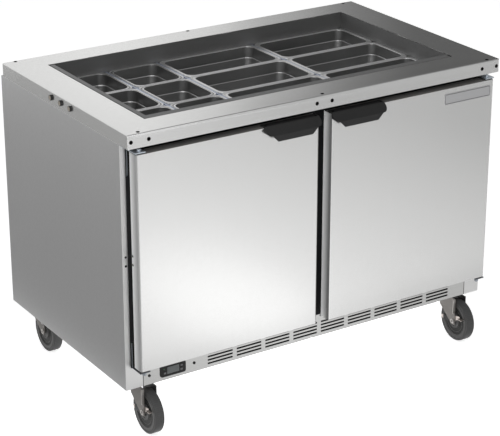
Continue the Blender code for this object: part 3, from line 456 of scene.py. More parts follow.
# the doors' side faces: lighter, less metallic copies of the door steel, painted light, each fading to a
# painted shade towards the front
edgeSteel = makeSteel("edgeSteel", (0.96, 0.96, 0.96), 0.50, alongZ, 0.004, 0.01, 0.25, outerEdgeShade)
gapSteel = makeSteel("gapSteel", (0.97, 0.97, 0.97), 0.50, alongZ, 0.004, 0.01, 0.0, gapEdgeShade)
sideSteel = makeSteel("sideSteel", (0.74, 0.74, 0.74), 0.30, alongZ, 0.004, 0.01)
panSteel = makeSteel("panSteel", (0.90, 0.90, 0.90), 0.40, alongX, 0.004, 0.03)
# darker copies of the pan steel for the step, the groove and the walls: painted shade
panStepShade = makeSteel("panStepShade", (0.62, 0.62, 0.62), 0.42, alongX, 0.004, 0.03)
panWallShade = makeSteel("panWallShade", (0.36, 0.36, 0.36), 0.36, alongX, 0.008, 0.03)
wellSteel = makeSteel("wellSteel", (0.33, 0.33, 0.33), 0.60, alongX)
barSteel = makeSteel("barSteel", (0.60, 0.65, 0.76), 0.45, alongY)
linerMetal = makeSteel("linerMetal", (0.66, 0.67, 0.68), 0.45, alongX, 0.03, 0.08)
zincLook = makePlated("zincLook", (0.66, 0.71, 0.78), 0.48)
# darker copies of the zinc for the lower brackets and lower bolts: painted shade
lowerShadeZinc = makePlated("lowerShadeZinc", (0.20, 0.21, 0.23), 0.45)
lowerBoltShadeZinc = makePlated("lowerBoltShadeZinc", (0.42, 0.45, 0.49), 0.45)
forkLook = makePlated("forkLook", (0.255, 0.242, 0.230), 0.55, 180.0)
# a lighter copy of the fork steel for the folded edge and the axle ends: painted light
litForkLook = makePlated("litForkLook", (0.60, 0.58, 0.56), 0.50, 180.0)
brakeColour = (0.70, 0.635, 0.595)
brakeLook = makePlated("brakeLook", brakeColour, 0.46, 180.0)
armLook = makePlated("armLook", brakeColour, 0.46, 180.0, armShade)
blackPlastic = makePlastic("blackPlastic", (0.020, 0.020, 0.020), 0.55)
darkPlastic = makePlastic("darkPlastic", (0.016, 0.016, 0.017), 0.6, shine=0.08)
corePlastic = makePlastic("corePlastic", (0.15, 0.145, 0.14), 0.6, 60.0, 0.15)
keyPlastic = makePlastic("keyPlastic", (0.13, 0.13, 0.135), 0.45)
rubberLook = makePlastic("rubberLook", (0.012, 0.012, 0.012), 0.62, 300.0, 0.1)
# near-black with hardly any shine: painted shade, for the holes and for the seal's side in the gap
holeAndGapShade = makePlastic("holeAndGapShade", (0.004, 0.004, 0.004), 0.7, 300.0, 0.1, shine=0.03)
tyreLook = makePlastic("tyreLook", (0.055, 0.055, 0.055), 0.5, 350.0, 0.1)
hubLook = makePlastic("hubLook", (0.064, 0.063, 0.062), 0.42, 350.0, 0.06)
# the wheel's dish, painted darker: painted shade
recessShade = makePlastic("recessShade", (0.020, 0.020, 0.019), 0.55, 350.0, 0.06)
windowLook = makePlastic("windowLook", (0.13, 0.14, 0.14), 0.16, 40.0, 0.0)
paintLook = makePlastic("paintLook", (0.02, 0.02, 0.02), 0.3, 120.0, 0.03)
capLook = makePlated("capLook", (0.62, 0.57, 0.50), 0.4, 300.0)
finLook = makeFins("finLook", (0.10, 0.10, 0.10), (0.66, 0.67, 0.68), 0.4, 105.0)
lampLook = makePlastic("lampLook", (0.10, 0.30, 0.12), 0.2, 60.0, 0.0)
print("materials made")

# every CAD node gets the look of its record slot first
slotLooks = {"stainless": sideSteel, "bar_steel": barSteel, "pan_steel": panSteel, "well_steel": wellSteel,
             "zinc": zincLook, "fork_steel": forkLook, "brake_steel": brakeLook, "wheel_tyre": tyreLook,
             "liner_aluminium": linerMetal, "black_plastic": blackPlastic, "dark_plastic": darkPlastic,
             "key_plastic": keyPlastic, "gasket_rubber": rubberLook, "compressor_paint": paintLook}
slotOf = {entry["node"]: entry["material_slot"] for entry in frame["record"]["subparts"]}
for nodeName, node in nodes.items():
    node.data.materials.clear()
    node.data.materials.append(slotLooks[slotOf[nodeName]])

# sheet metal: the CAD shapes with soft edges; the faces looking forward take another copy of the steel,
# lighter on the fascia and posts and darker on the grille: painted light and painted shade
sheets = {"top_deck": (deckSteel, fasciaSteel), "left_side_panel": (sideSteel, postSteel),
          "right_side_panel": (sideSteel, postSteel), "back_panel": (sideSteel, sideSteel),
          "front_grille": (deckSteel, grilleShadeSteel), "base_pan": (sideSteel, sideSteel)}
sheetSizes = {"edge": 0.0006, "fasciaLean": 1.2, "deckRound": 0.0026}
for nodeName, (look, frontLook) in sheets.items():
    piece = plainCopy(nodeName, nodeName + "_sheet")
    if nodeName == "top_deck":  # the folded front stands a little forward at its lower edge
        low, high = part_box(nodeName)
        fold = high.z - sheetSizes["deckRound"]
        choose(piece, "VERT", lambda vert: vert.co.y < low.y + 2 * hair and vert.co.z < fold)
        bpy.ops.transform.rotate(value=math.radians(sheetSizes["fasciaLean"]), orient_axis="X",
                                 center_override=(0, low.y, fold))
    softEdges(piece, sheetSizes["edge"])
    paint(piece, look, frontLook, lambda face: face.normal.y < -0.5)
    finishPiece(piece, None, "cabinet", "stainless", nodeName)

# hinge brackets: the leg's front painted black as painted shade, with a bare rib along it
bracketSizes = {"edge": 0.0006, "legReach": 0.01, "rib": 0.0024, "ribProud": 0.0008, "ribSunk": 0.0005,
                "ribShort": 0.003, "ribEdge": 0.0003}


def addBracket(side, level, plating):
    nodeName = f"hinge_{level}_{side}"
    low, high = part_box(nodeName)
    legStart = high.y - bracketSizes["legReach"]
    piece = softCopy(nodeName, f"{side}_{level}_bracket", bracketSizes["edge"])
    paint(piece, plating, rubberLook, lambda face: face.normal.y < -0.5 and face.center.y > legStart)
    legFront = min(face.center.y for face in piece.data.polygons
                   if face.normal.y < -0.9 and face.center.y > legStart)
    ribLeft = low.x if side == "left" else high.x - bracketSizes["rib"]
    ribRight = low.x + bracketSizes["rib"] if side == "left" else high.x
    ribShort = bracketSizes["ribShort"]
    rib = addBlock("bracketRib", (ribLeft, legFront - bracketSizes["ribProud"], low.z + ribShort),
                   (ribRight, legFront + bracketSizes["ribSunk"], high.z - ribShort))
    softEdges(rib, bracketSizes["ribEdge"])
    rib.data.materials.append(zincLook)
    joinPieces(piece, rib)
    finishPiece(piece, None, "cabinet", "zinc", nodeName)


# doors: skin, dished back, grooved seal and pull
doorSizes = {"skinEdge": 0.0005, "dishBorder": 0.045, "dishSlope": 0.006, "dishDepth": 0.004,
             "coreEdge": 0.0012, "sealLip": 0.004, "sealSlope": 0.001, "sealGroove": 0.0025,
             "sealEdge": 0.001, "pullEdge": 0.0008}
for side, inward in (("left", 1), ("right", -1)):
    piece = softCopy(f"{side}_door_panel", f"{side}_door_skin", doorSizes["skinEdge"])
    # the side faces get the lighter edge steel, painted light, fading to a painted shade at the front
    paint(piece, doorSteel, edgeSteel, lambda face: abs(face.normal.x) > 0.5)
    paintAlso(piece, gapSteel, lambda face: face.normal.x * inward > 0.5)  # the edge beside the other door, with a darker painted shade towards the front
    finishPiece(piece, None, f"{side}_door", "stainless", f"{side}_door_panel")
    piece = plainCopy(f"{side}_door_liner", f"{side}_door_core")
    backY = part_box(f"{side}_door_liner")[1].y
    choose(piece, "FACE", lambda face: face.normal.y > 0.9 and middle(face).y > backY - 5 * hair)
    dish(doorSizes["dishBorder"], doorSizes["dishSlope"], doorSizes["dishDepth"])
    softEdges(piece, doorSizes["coreEdge"])
    finishPiece(piece, corePlastic, f"{side}_door", "dark_plastic", f"{side}_door_liner")
    piece = plainCopy(f"{side}_door_gasket", f"{side}_door_seal")
    choose(piece, "FACE", lambda face: abs(face.normal.y) < 0.1)
    dish(doorSizes["sealLip"], doorSizes["sealSlope"], doorSizes["sealGroove"])
    softEdges(piece, doorSizes["sealEdge"], 3)
    paint(piece, rubberLook, holeAndGapShade, lambda face: face.normal.x * inward > 0.3)  # the side in the shade of the gap, painted darker: painted shade
    finishPiece(piece, None, f"{side}_door", "gasket_rubber", f"{side}_door_gasket")
    softPiece(f"{side}_door_handle", f"{side}_door_pull", doorSizes["pullEdge"], blackPlastic,
              f"{side}_door", "black_plastic", 3, 20)
    addBracket(side, "upper", zincLook)
    addBracket(side, "lower", lowerShadeZinc)

# well collar, divider bars, controller and its keys
trimEdges = {"well": 0.0008, "bar": 0.0006, "bezel": 0.0006, "key": 0.0006}
softPiece("well_collar", "well_sheet", trimEdges["well"], wellSteel, "cabinet", "well_steel")
for number in (1, 2, 3):
    softPiece(f"divider_bar_{number}", f"ribbed_bar_{number}", trimEdges["bar"], barSteel,
              "cabinet", "bar_steel")
softPiece("control_bezel", "controller_face", trimEdges["bezel"], blackPlastic, "cabinet", "black_plastic")
for number in (1, 2, 3):
    softPiece(f"control_key_{number}", f"key_cap_{number}", trimEdges["key"], keyPlastic,
              f"key_{number}", "key_plastic", 3)
print("sheet metal, doors and controller done")

# food pans: grooved rim, rounded corners, stepped and drafted walls
panSizes = {"rimCorner": 0.016, "mouthCorner": 0.025, "cornerSteps": 8, "flange": 0.008, "lip": 0.0038,
            "groove": 0.0012, "grooveLow": 0.002, "wallTop": 0.006, "step": (0.0327, 0.0345),
            "sheet": 0.0008, "softening": 0.0011}
panRings = ((0.0330, 0.0012), (0.0342, 0.0026), (0.090, 0.0095),  # drop below the rim, inset from the mouth
            (0.0955, 0.012), (0.0980, 0.017), (0.0986, 0.024))


def addOutline(width, depth, corner):
    bpy.ops.mesh.primitive_plane_add(size=1, location=(0, 0, 0))
    bpy.ops.object.mode_set(mode="EDIT")
    bpy.ops.mesh.select_all(action="SELECT")
    bpy.ops.transform.resize(value=(width, depth, 1), center_override=(0, 0, 0))
    bpy.ops.mesh.bevel(offset=corner, segments=panSizes["cornerSteps"], affect="VERTICES")
    bpy.ops.mesh.delete(type="ONLY_FACE")
    bpy.ops.object.mode_set(mode="OBJECT")
    return bpy.context.object


def makePan(name, width, depth):
    mouth = (width - 2 * panSizes["flange"], depth - 2 * panSizes["flange"])
    deselectAll()
    rim = addOutline(width, depth, panSizes["rimCorner"])
    piece = addOutline(*mouth, panSizes["mouthCorner"])
    joinPieces(piece, rim)
    piece.name = name
    selectEverything(piece)
    bpy.ops.mesh.bridge_edge_loops(number_cuts=2, interpolation="LINEAR")
    choose(piece, "VERT", lambda vert: not vert.is_boundary)
    bpy.ops.transform.translate(value=(0, 0, -panSizes["groove"]))

    def outside(edge):
        at = middle(edge)
        return max(abs(at.x) - width / 2, abs(at.y) - depth / 2) > -0.75 * panSizes["flange"]
    choose(piece, "EDGE", lambda edge: edge.is_boundary and outside(edge))
    extrude((0, 0, -panSizes["lip"]))
    choose(piece, "EDGE", lambda edge: edge.is_boundary and not outside(edge))
    drop, size = 0.0, mouth
    for ringDrop, ringInset in panRings:
        ring = (mouth[0] - 2 * ringInset, mouth[1] - 2 * ringInset)
        extrude((0, 0, drop - ringDrop))
        bpy.ops.transform.resize(value=(ring[0] / size[0], ring[1] / size[1], 1), center_override=(0, 0, 0))
        drop, size = ringDrop, ring
    bpy.ops.mesh.edge_face_add()
    fixNormals(piece)
    bpy.ops.mesh.flip_normals()  # settles on which side the sheet gets its thickness
    deselectAll()
    applyModifier(piece, "BEVEL", width=panSizes["softening"], segments=3, limit_method="ANGLE",
                  angle_limit=math.radians(40))
    applyModifier(piece, "SOLIDIFY", thickness=panSizes["sheet"], offset=-1, use_even_offset=True)
    smooth(piece, 40)
    # the rim's groove and the walls are painted darker than the rim, painted shade; the step gets a lighter
    # painted shade between
    grooveTop = 0.7 * panSizes["groove"]
    stepTop, stepLow = panSizes["step"]
    paint(piece, panSteel, panWallShade, lambda face: grooveTop < -face.center.z < panSizes["grooveLow"] or
          -face.center.z > panSizes["wallTop"])
    paintAlso(piece, panStepShade, lambda face: stepTop < -face.center.z < stepLow)
    return piece


for kind in ("sixth", "third"):
    low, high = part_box(f"{kind}_pan_1")
    master = makePan(f"{kind}PanMaster", high.x - low.x, high.y - low.y)
    for number in range(1, 7):
        nodeName = f"{kind}_pan_{number}"
        low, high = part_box(nodeName)
        move = ((low.x + high.x) / 2, (low.y + high.y) / 2, high.z)
        piece = copyPiece(master, f"{kind}_tray_{number}", move)
        finishPiece(piece, None, nodeName, "pan_steel", nodeName)
    bpy.data.objects.remove(master)
print("pans done")

# caster wheels: rounded tread, grooved side, dished core and bored hub
wheelSizes = {"radius": 0.0635, "half": 0.014, "tread": 0.004, "bore": 0.0053, "sides": 72, "core": 0.0525,
              "dish": (0.0225, 0.05), "dishDepth": 0.0026}
# each ring's step inwards and its depth
wheelRings = ((0.0045, 0), (0.0005, -0.001), (0.0009, 0), (0.0005, 0.001), (0.0085, 0), (0.0022, -0.0031),
              (0.0065, 0), (0.0006, 0.001), (0.0012, 0), (0.0006, -0.001), (0.0105, 0), (0.0018, 0.0044),
              (0.0035, 0), (0.0008, -0.0012), (0.0085, 0))


def makeWheel(name):
    radius = wheelSizes["radius"]
    half = wheelSizes["half"]
    piece = addRod(name, radius, 2 * half, "X", (0, 0, 0), wheelSizes["sides"])
    choose(piece, "EDGE", lambda edge: all(abs(vert.co.x) > half - hair for vert in edge.verts))
    roundEdges(wheelSizes["tread"], 4)
    choose(piece, "FACE", lambda face: abs(face.normal.x) > 0.9 and len(face.verts) > 8)
    reach = radius - wheelSizes["tread"]
    for step, depth in wheelRings:
        inset(step, depth)
        reach -= step
    inset(reach - wheelSizes["bore"])
    bpy.ops.mesh.bridge_edge_loops()
    fixNormals(piece)
    smooth(piece, 30)

    def reachOf(face):
        return math.hypot(face.center.y, face.center.z)
    # the core inside the groove is a second, smoother plastic, and the dish between rim and hub is painted
    # darker, painted shade
    dishLow, dishHigh = wheelSizes["dish"]
    paint(piece, tyreLook, hubLook, lambda face: reachOf(face) < wheelSizes["core"])
    paintAlso(piece, recessShade, lambda face: abs(face.center.x) < half - wheelSizes["dishDepth"] and
              dishLow < reachOf(face) < dishHigh)
    return piece


# folded front edge of the outer fork leg, and the axle ends
forkSizes = {"plateEdge": 0.0007, "innerLeg": 0.012, "legOuter": 0.0205, "legFront": 0.0095, "flange": 0.0068,
             "sheet": 0.0022, "low": 0.0905, "high": 0.1365, "tipRound": 0.005, "foldSunk": 0.0006,
             "foldEdge": 0.0005, "boss": 0.0072, "bossLength": 0.003, "bossSunk": 0.0005, "bossEdge": 0.0005,
             "bossRim": 0.0028, "boreSlope": 0.0003, "boreDepth": 0.0018, "boreEnd": 0.0012}
brakeSizes = {"edge": 0.0004, "armFront": 0.006}


def addForkEdges(axle):
    front = axle.y - forkSizes["legFront"]
    leg = axle.x - forkSizes["legOuter"]
    tip = leg - forkSizes["flange"]
    fold = addBlock("forkFold", (tip, front, forkSizes["low"]),
                    (leg + forkSizes["foldSunk"], front + forkSizes["sheet"], forkSizes["high"]))
    choose(fold, "EDGE", lambda edge: all(vert.co.x < tip + hair and vert.co.z < forkSizes["low"] + hair
                                          for vert in edge.verts))
    roundEdges(forkSizes["tipRound"], 5)
    softEdges(fold, forkSizes["foldEdge"])
    fold.data.materials.append(litForkLook)
    made = [fold]
    boreEnd = forkSizes["legOuter"] + forkSizes["boreEnd"]
    bossOut = forkSizes["legOuter"] + forkSizes["bossLength"] / 2 - forkSizes["bossSunk"]
    for sign in (-1, 1):
        boss = addRod("axleBoss", forkSizes["boss"], forkSizes["bossLength"], "X",
                      (axle.x + sign * bossOut, axle.y, axle.z), 32)
        choose(boss, "FACE", lambda face: face.normal.x * sign > 0.9)
        dish(forkSizes["bossRim"], forkSizes["boreSlope"], forkSizes["boreDepth"])
        softEdges(boss, forkSizes["bossEdge"])
        paint(boss, litForkLook, rubberLook, lambda face: face.normal.x * sign > 0.9 and  # the bore painted black: painted shade
              abs(face.center.x - axle.x) < boreEnd)
        made.append(boss)
    return made


master = makeWheel("wheelMaster")
for caster in ("front_left", "front_right", "rear_left", "rear_right"):
    low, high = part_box(f"{caster}_caster_wheel")
    axle = (low + high) / 2
    piece = copyPiece(master, f"{caster}_wheel_moulding", axle)
    finishPiece(piece, None, f"{caster}_wheel", "wheel_tyre", f"{caster}_caster_wheel")
    piece = softCopy(f"{caster}_caster_fork", f"{caster}_fork_plate", forkSizes["plateEdge"])
    innerLeg = axle.x + forkSizes["innerLeg"]
    paint(piece, forkLook, blackPlastic, lambda face: face.center.x > innerLeg)  # the inner leg painted black: painted shade
    joinPieces(piece, *addForkEdges(axle))
    finishPiece(piece, None, f"{caster}_fork", "fork_steel", f"{caster}_caster_fork")
    if caster.startswith("front"):
        piece = softCopy(f"{caster}_brake_lever", f"{caster}_brake_plate", brakeSizes["edge"])
        armFront = axle.y - brakeSizes["armFront"]
        paint(piece, brakeLook, armLook, lambda face: face.center.y > armFront)  # dark arm with a bare tip
        finishPiece(piece, None, f"{caster}_brake", "brake_steel", f"{caster}_brake_lever")
bpy.data.objects.remove(master)
print("casters done")


# takes a block away from a piece
def cutBlock(piece, low, high):
    cutter = addBlock("cutter", low, high)
    applyModifier(piece, "BOOLEAN", operation="DIFFERENCE", solver="EXACT", object=cutter)
    bpy.data.objects.remove(cutter)


# lid studs on both end skirts: a dark collar with a slotted plated cap
studSizes = {"radius": 0.0078, "length": 0.0052, "height": 0.8736, "places": (0.0649, 0.0085, -0.0469),
             "rim": 0.0012, "rimRound": 0.0008, "grooveSlope": 0.0004, "grooveDepth": 0.0006,
             "capSlope": 0.0006, "slotHalf": (0.006, 0.0009), "slotDepth": 0.0012, "capInset": 0.0014,
             "capDepth": 0.3}


def makeStud(name):
    radius, length = studSizes["radius"], studSizes["length"]
    across, along = studSizes["slotHalf"]
    piece = addRod(name, radius, length, "X", (-length / 2, 0, 0), 32)
    choose(piece, "FACE", lambda face: face.normal.x < -0.9)
    dish(studSizes["rim"], studSizes["grooveSlope"], studSizes["grooveDepth"])
    inset(studSizes["capSlope"], studSizes["grooveDepth"])
    choose(piece, "EDGE", lambda edge: all(vert.co.x < -length + hair and
           math.hypot(vert.co.y, vert.co.z) > radius - hair for vert in edge.verts))
    roundEdges(studSizes["rimRound"], 2)
    cutBlock(piece, (-2 * length, -across, -along), (studSizes["slotDepth"] - length, across, along))
    smooth(piece, 40)
    capSide, capReach = -studSizes["capDepth"] * length, radius - studSizes["capInset"]
    paint(piece, blackPlastic, capLook, lambda face: face.center.x < capSide and  # only the cap is plated
          math.hypot(face.center.y, face.center.z) < capReach)
    return piece


deckLow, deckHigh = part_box("top_deck")
studMaster = makeStud("studMaster")
for number, along in enumerate(studSizes["places"]):
    for side, skirt, flip in (("left", deckLow.x, None), ("right", deckHigh.x, (-1, 1, 1))):
        piece = copyPiece(studMaster, f"{side}_stud_{number + 1}", (skirt, along, studSizes["height"]), flip)
        finishPiece(piece, None, "cabinet", "zinc")
bpy.data.objects.remove(studMaster)

# bare badge plate on the right door, with a dark inlaid border
plateSizes = {"across": (0.4104, 0.5764), "up": (0.787, 0.819), "thick": 0.0014, "corner": 0.0045,
              "rim": 0.0016, "line": 0.0012, "lineSlope": 0.0002, "lineDepth": 0.0003}
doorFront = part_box("right_door_panel")[0].y
plateFront = doorFront - plateSizes["thick"]
plate = addBlock("badge_plate", (plateSizes["across"][0], plateFront, plateSizes["up"][0]),
                 (plateSizes["across"][1], doorFront, plateSizes["up"][1]))
choose(plate, "EDGE", lambda edge: abs(edge.verts[0].co.y - edge.verts[1].co.y) > 10 * hair)
roundEdges(plateSizes["corner"], 4)
chooseFront(plate)
dish(plateSizes["rim"], plateSizes["lineSlope"], plateSizes["lineDepth"])
inset(plateSizes["line"])
inset(plateSizes["lineSlope"], plateSizes["lineDepth"])
smooth(plate, 40)
plateLook = makeSteel("plateLook", (0.66, 0.66, 0.67), 0.30, alongX)
paint(plate, plateLook, blackPlastic, lambda face: face.normal.y < -0.9 and  # the sunk line is painted
      face.center.y > plateFront + 2 * hair)
finishPiece(plate, None, "right_door", "stainless")

# display window in the controller's recess, and a small lamp
windowSizes = {"half": (0.0190, 0.0100), "deep": 0.0014, "front": 0.0003, "rim": 0.0015, "slope": 0.0003,
               "sunk": 0.0002, "edge": 0.0003}
lampSizes = {"radius": 0.0011, "length": 0.0008, "across": 0.0105, "proud": 0.0001, "up": 0.0065,
             "round": 0.0004}
bezelLow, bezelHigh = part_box("control_bezel")
bezelMid = (bezelLow + bezelHigh) / 2
across, up = windowSizes["half"]
window = addBlock("display_window",
                  (bezelMid.x - across, bezelLow.y + windowSizes["front"], bezelMid.z - up),
                  (bezelMid.x + across, bezelLow.y + windowSizes["deep"], bezelMid.z + up))
chooseFront(window)
dish(windowSizes["rim"], windowSizes["slope"], windowSizes["sunk"])
softEdges(window, windowSizes["edge"])
finishPiece(window, windowLook, "cabinet", "black_plastic")
lampAt = (bezelLow.x + lampSizes["across"], bezelLow.y - lampSizes["proud"], bezelMid.z + lampSizes["up"])
lamp = addRod("signal_lamp", lampSizes["radius"], lampSizes["length"], "Y", lampAt, 16)
choose(lamp, "EDGE", lambda edge: all(vert.co.y < bezelLow.y - 3 * hair for vert in edge.verts))
roundEdges(lampSizes["round"], 3)
smooth(lamp, 50)
finishPiece(lamp, lampLook, "cabinet", "black_plastic")

# screws of grille and back: a rounded head with a cross recess
screwSizes = {"radius": 0.0042, "height": 0.0022, "crown": 0.6, "slot": 0.001, "slotReach": 0.0026,
              "slotEnd": 0.55, "grille": ((-0.3942, 0.171), (-0.5365, 0.1705)), "backMargin": 0.02,
              "backColumns": 5}


def makeScrew(name):
    height = screwSizes["height"]
    slot, reach = screwSizes["slot"], screwSizes["slotReach"]
    piece = addRod(name, screwSizes["radius"], height, "Y", (0, -height / 2, 0), 24)
    choose(piece, "EDGE", lambda edge: all(vert.co.y < -height + hair for vert in edge.verts))
    roundEdges(height * screwSizes["crown"], 3)
    for across, along in ((slot, reach), (reach, slot)):
        cutBlock(piece, (-across / 2, -2 * height, -along / 2),
                 (across / 2, -screwSizes["slotEnd"] * height, along / 2))
    smooth(piece, 40)
    return piece


grilleLow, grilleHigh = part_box("front_grille")
backLow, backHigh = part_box("back_panel")
screwMaster = makeScrew("screwMaster")
for number, (across, height) in enumerate(screwSizes["grille"]):
    piece = copyPiece(screwMaster, f"grille_screw_{number + 1}", (across, grilleLow.y, height))
    finishPiece(piece, blackPlastic, "cabinet", "black_plastic")
margin, columns = screwSizes["backMargin"], screwSizes["backColumns"]
for number in range(2 * columns):
    across = backLow.x + margin + (number % columns) * (backHigh.x - backLow.x - 2 * margin) / (columns - 1)
    height = (backLow.z + margin, backHigh.z - margin)[number // columns]
    piece = copyPiece(screwMaster, f"back_screw_{number + 1}", (across, backHigh.y, height), (1, -1, 1))
    finishPiece(piece, zincLook, "cabinet", "zinc")
bpy.data.objects.remove(screwMaster)

# dished plugs in near-black, standing for the dark of the holes as painted shade: in the deck and fascia
# holes, and on posts, door edges, sill and pulls
plugSizes = {"proud": 0.0004, "lean": 0.0002, "thick": 0.0014, "rim": 0.25, "dishSlope": 0.2,
             "dishDepth": 0.0003, "deckRadius": 0.0050, "fasciaRadius": 0.0055, "dotRadius": 0.0032}
plugPlaces = {"deck": (-0.572, 0.0, 0.572), "deckFront": 0.0115, "deckBack": 0.0085,
              "fascia": (-0.599, -0.5467, -0.0246, 0.0246, 0.5467, 0.599), "fasciaUp": 0.87,
              "sill": (0.029, 0.2085), "post": 0.5995, "postUp": (0.5359, 0.5105), "edgeAlong": -0.3335,
              "edgeRaise": 0.0078, "pull": (-0.0807, 0.0807), "pullAlong": -0.3575}


# kind names the radius; the plug faces along the axis, forwards or backwards by sign
def addPlug(name, kind, axis, at, sign, body):
    radius = plugSizes[f"{kind}Radius"]
    turn = "XYZ".index(axis)
    centre = list(at)
    centre[turn] -= sign * (plugSizes["thick"] / 2 - plugSizes["proud"])
    piece = addRod(name, radius, plugSizes["thick"], axis, centre, 24)
    choose(piece, "FACE", lambda face: face.normal[turn] * sign > 0.9)
    dish(radius * plugSizes["rim"], radius * plugSizes["dishSlope"], plugSizes["dishDepth"])
    smooth(piece, 40)
    finishPiece(piece, holeAndGapShade, body, "black_plastic")


for number, across in enumerate(plugPlaces["deck"]):
    for row, along in (("front", deckLow.y + plugPlaces["deckFront"]),
                       ("back", deckHigh.y - plugPlaces["deckBack"])):
        addPlug(f"deck_plug_{row}_{number + 1}", "deck", "Z", (across, along, deckHigh.z), 1, "cabinet")
for number, across in enumerate(plugPlaces["fascia"]):
    place = (across, deckLow.y - plugSizes["lean"], plugPlaces["fasciaUp"])
    addPlug(f"fascia_plug_{number + 1}", "fascia", "Y", place, -1, "cabinet")
addPlug("sill_plug", "dot", "Y", (plugPlaces["sill"][0], grilleLow.y, plugPlaces["sill"][1]), -1, "cabinet")
for side, sign in bothSides:
    doorLow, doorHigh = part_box(f"{side}_door_panel")
    pullLow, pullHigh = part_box(f"{side}_door_handle")
    hingeX = doorLow.x if sign < 0 else doorHigh.x
    for number, height in enumerate(plugPlaces["postUp"]):
        place = (sign * plugPlaces["post"], grilleLow.y, height)
        addPlug(f"{side}_post_plug_{number + 1}", "dot", "Y", place, -1, "cabinet")
        place = (hingeX, plugPlaces["edgeAlong"], height + plugPlaces["edgeRaise"])
        addPlug(f"{side}_edge_plug_{number + 1}", "dot", "X", place, sign, f"{side}_door")
    for number, shift in enumerate(plugPlaces["pull"]):
        place = ((pullLow.x + pullHigh.x) / 2 + shift, plugPlaces["pullAlong"], pullHigh.z)
        addPlug(f"{side}_pull_plug_{number + 1}", "dot", "Z", place, 1, f"{side}_door")

# hex bolts with washers on the hinge arms
boltSizes = {"washer": 0.0078, "washerThick": 0.0012, "washerEdge": 0.0004, "head": 0.0060,
             "headEdge": 0.0006, "headSunk": 0.0001, "upper": 0.0052, "lower": 0.0095, "across": 0.572,
             "along": -0.3504}
thick = boltSizes["washerThick"]
# the lower bolts take a darker copy of the zinc: painted shade
for level, look, flip in (("upper", zincLook, None), ("lower", lowerBoltShadeZinc, (1, 1, -1))):
    height = boltSizes[level]
    bolt = addRod("boltMaster", boltSizes["washer"], thick, "Z", (0, 0, thick / 2), 32)
    softEdges(bolt, boltSizes["washerEdge"])
    headUp = thick + height / 2 - boltSizes["headSunk"]
    head = addRod("boltHead", boltSizes["head"], height, "Z", (0, 0, headUp), 6)
    softEdges(head, boltSizes["headEdge"])
    joinPieces(bolt, head)
    for side, sign in bothSides:
        armLow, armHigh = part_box(f"hinge_{level}_{side}")
        place = (sign * boltSizes["across"], boltSizes["along"], armLow.z if flip else armHigh.z)
        piece = copyPiece(bolt, f"{side}_{level}_bolt", place, flip)
        finishPiece(piece, look, "cabinet", "zinc")
    bpy.data.objects.remove(bolt)

# dark mats behind the grille, above and below the base pan, which darken the view through the slots: painted
# shade; and the dark joints beside it
matSizes = {"front": -0.3030, "back": -0.3016, "left": -0.41, "right": 0.55, "topGap": 0.004,
            "lowGap": 0.0005, "border": 0.003, "slope": 0.0004, "sunk": 0.0005, "edge": 0.0002}
jointSizes = {"half": 0.0009, "out": 0.0005, "proud": 0.0002, "deep": 0.0018, "lowGap": 0.0005,
              "topGap": 0.001, "edge": 0.0001}
baseLow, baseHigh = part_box("base_pan")
for name, low, high in (("upper", baseHigh.z, grilleHigh.z - matSizes["topGap"]),
                        ("lower", grilleLow.z + matSizes["lowGap"], baseLow.z)):
    piece = addBlock(f"{name}_shade_mat", (matSizes["left"], matSizes["front"], low),
                     (matSizes["right"], matSizes["back"], high))
    chooseFront(piece)
    dish(matSizes["border"], matSizes["slope"], matSizes["sunk"])
    softEdges(piece, matSizes["edge"])
    finishPiece(piece, rubberLook, "cabinet", "black_plastic")
for side, sign in bothSides:
    jointX = sign * (grilleHigh.x + jointSizes["out"])
    piece = addBlock(f"{side}_joint_strip", (jointX - jointSizes["half"], grilleLow.y - jointSizes["proud"],
                                             grilleLow.z + jointSizes["lowGap"]),
                     (jointX + jointSizes["half"], grilleLow.y + jointSizes["deep"],
                      grilleHigh.z - jointSizes["topGap"]))
    softEdges(piece, jointSizes["edge"], 1)
    finishPiece(piece, rubberLook, "cabinet", "black_plastic")
print("details done")

# wire shelves: a round frame, close round wires along the depth and cross wires
shelfSizes = {"frame": 0.002, "wire": 0.0014, "count": 19, "cross": 3}


# a round wire with rounded ends
def addWire(name, radius, length, axis, centre):
    piece = addRod(name, radius, length, axis, centre, 10)
    turn = "XYZ".index(axis)
    choose(piece, "EDGE", lambda edge: abs(edge.verts[0].co[turn] - edge.verts[1].co[turn]) < hair)
    roundEdges(radius / 2, 2)
    smooth(piece, 50)
    return piece


for side in ("left", "right"):
    low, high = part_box(f"{side}_shelf")
    centre = (low + high) / 2
    size = high - low
    reach = shelfSizes["frame"]
    along = addWire("shelfWireY", shelfSizes["wire"], size.y - reach, "Y", (0, 0, reach - shelfSizes["wire"]))
    across = addWire("shelfWireX", reach, size.x, "X", (0, 0, 0))
    parts = []
    for number in range(shelfSizes["count"]):
        shift = ((number + 1) / (shelfSizes["count"] + 1) - 0.5) * (size.x - 2 * reach)
        parts.append(copyPiece(along, "shelfWire", centre + Vector((shift, 0, 0))))
    for number in range(shelfSizes["cross"] + 2):
        shift = (number / (shelfSizes["cross"] + 1) - 0.5) * (size.y - 2 * reach)
        parts.append(copyPiece(across, "shelfWire", centre + Vector((0, shift, 0))))
    for sign in (-1, 1):
        place = centre + Vector((sign * (size.x / 2 - reach), 0, 0))
        parts.append(addWire("shelfEnd", reach, size.y, "Y", place))
    bpy.data.objects.remove(along)
    bpy.data.objects.remove(across)
    piece = joinPieces(*parts)
    piece.name = f"{side}_wire_shelf"
    finishPiece(piece, zincLook, "cabinet", "liner_aluminium", f"{side}_shelf")

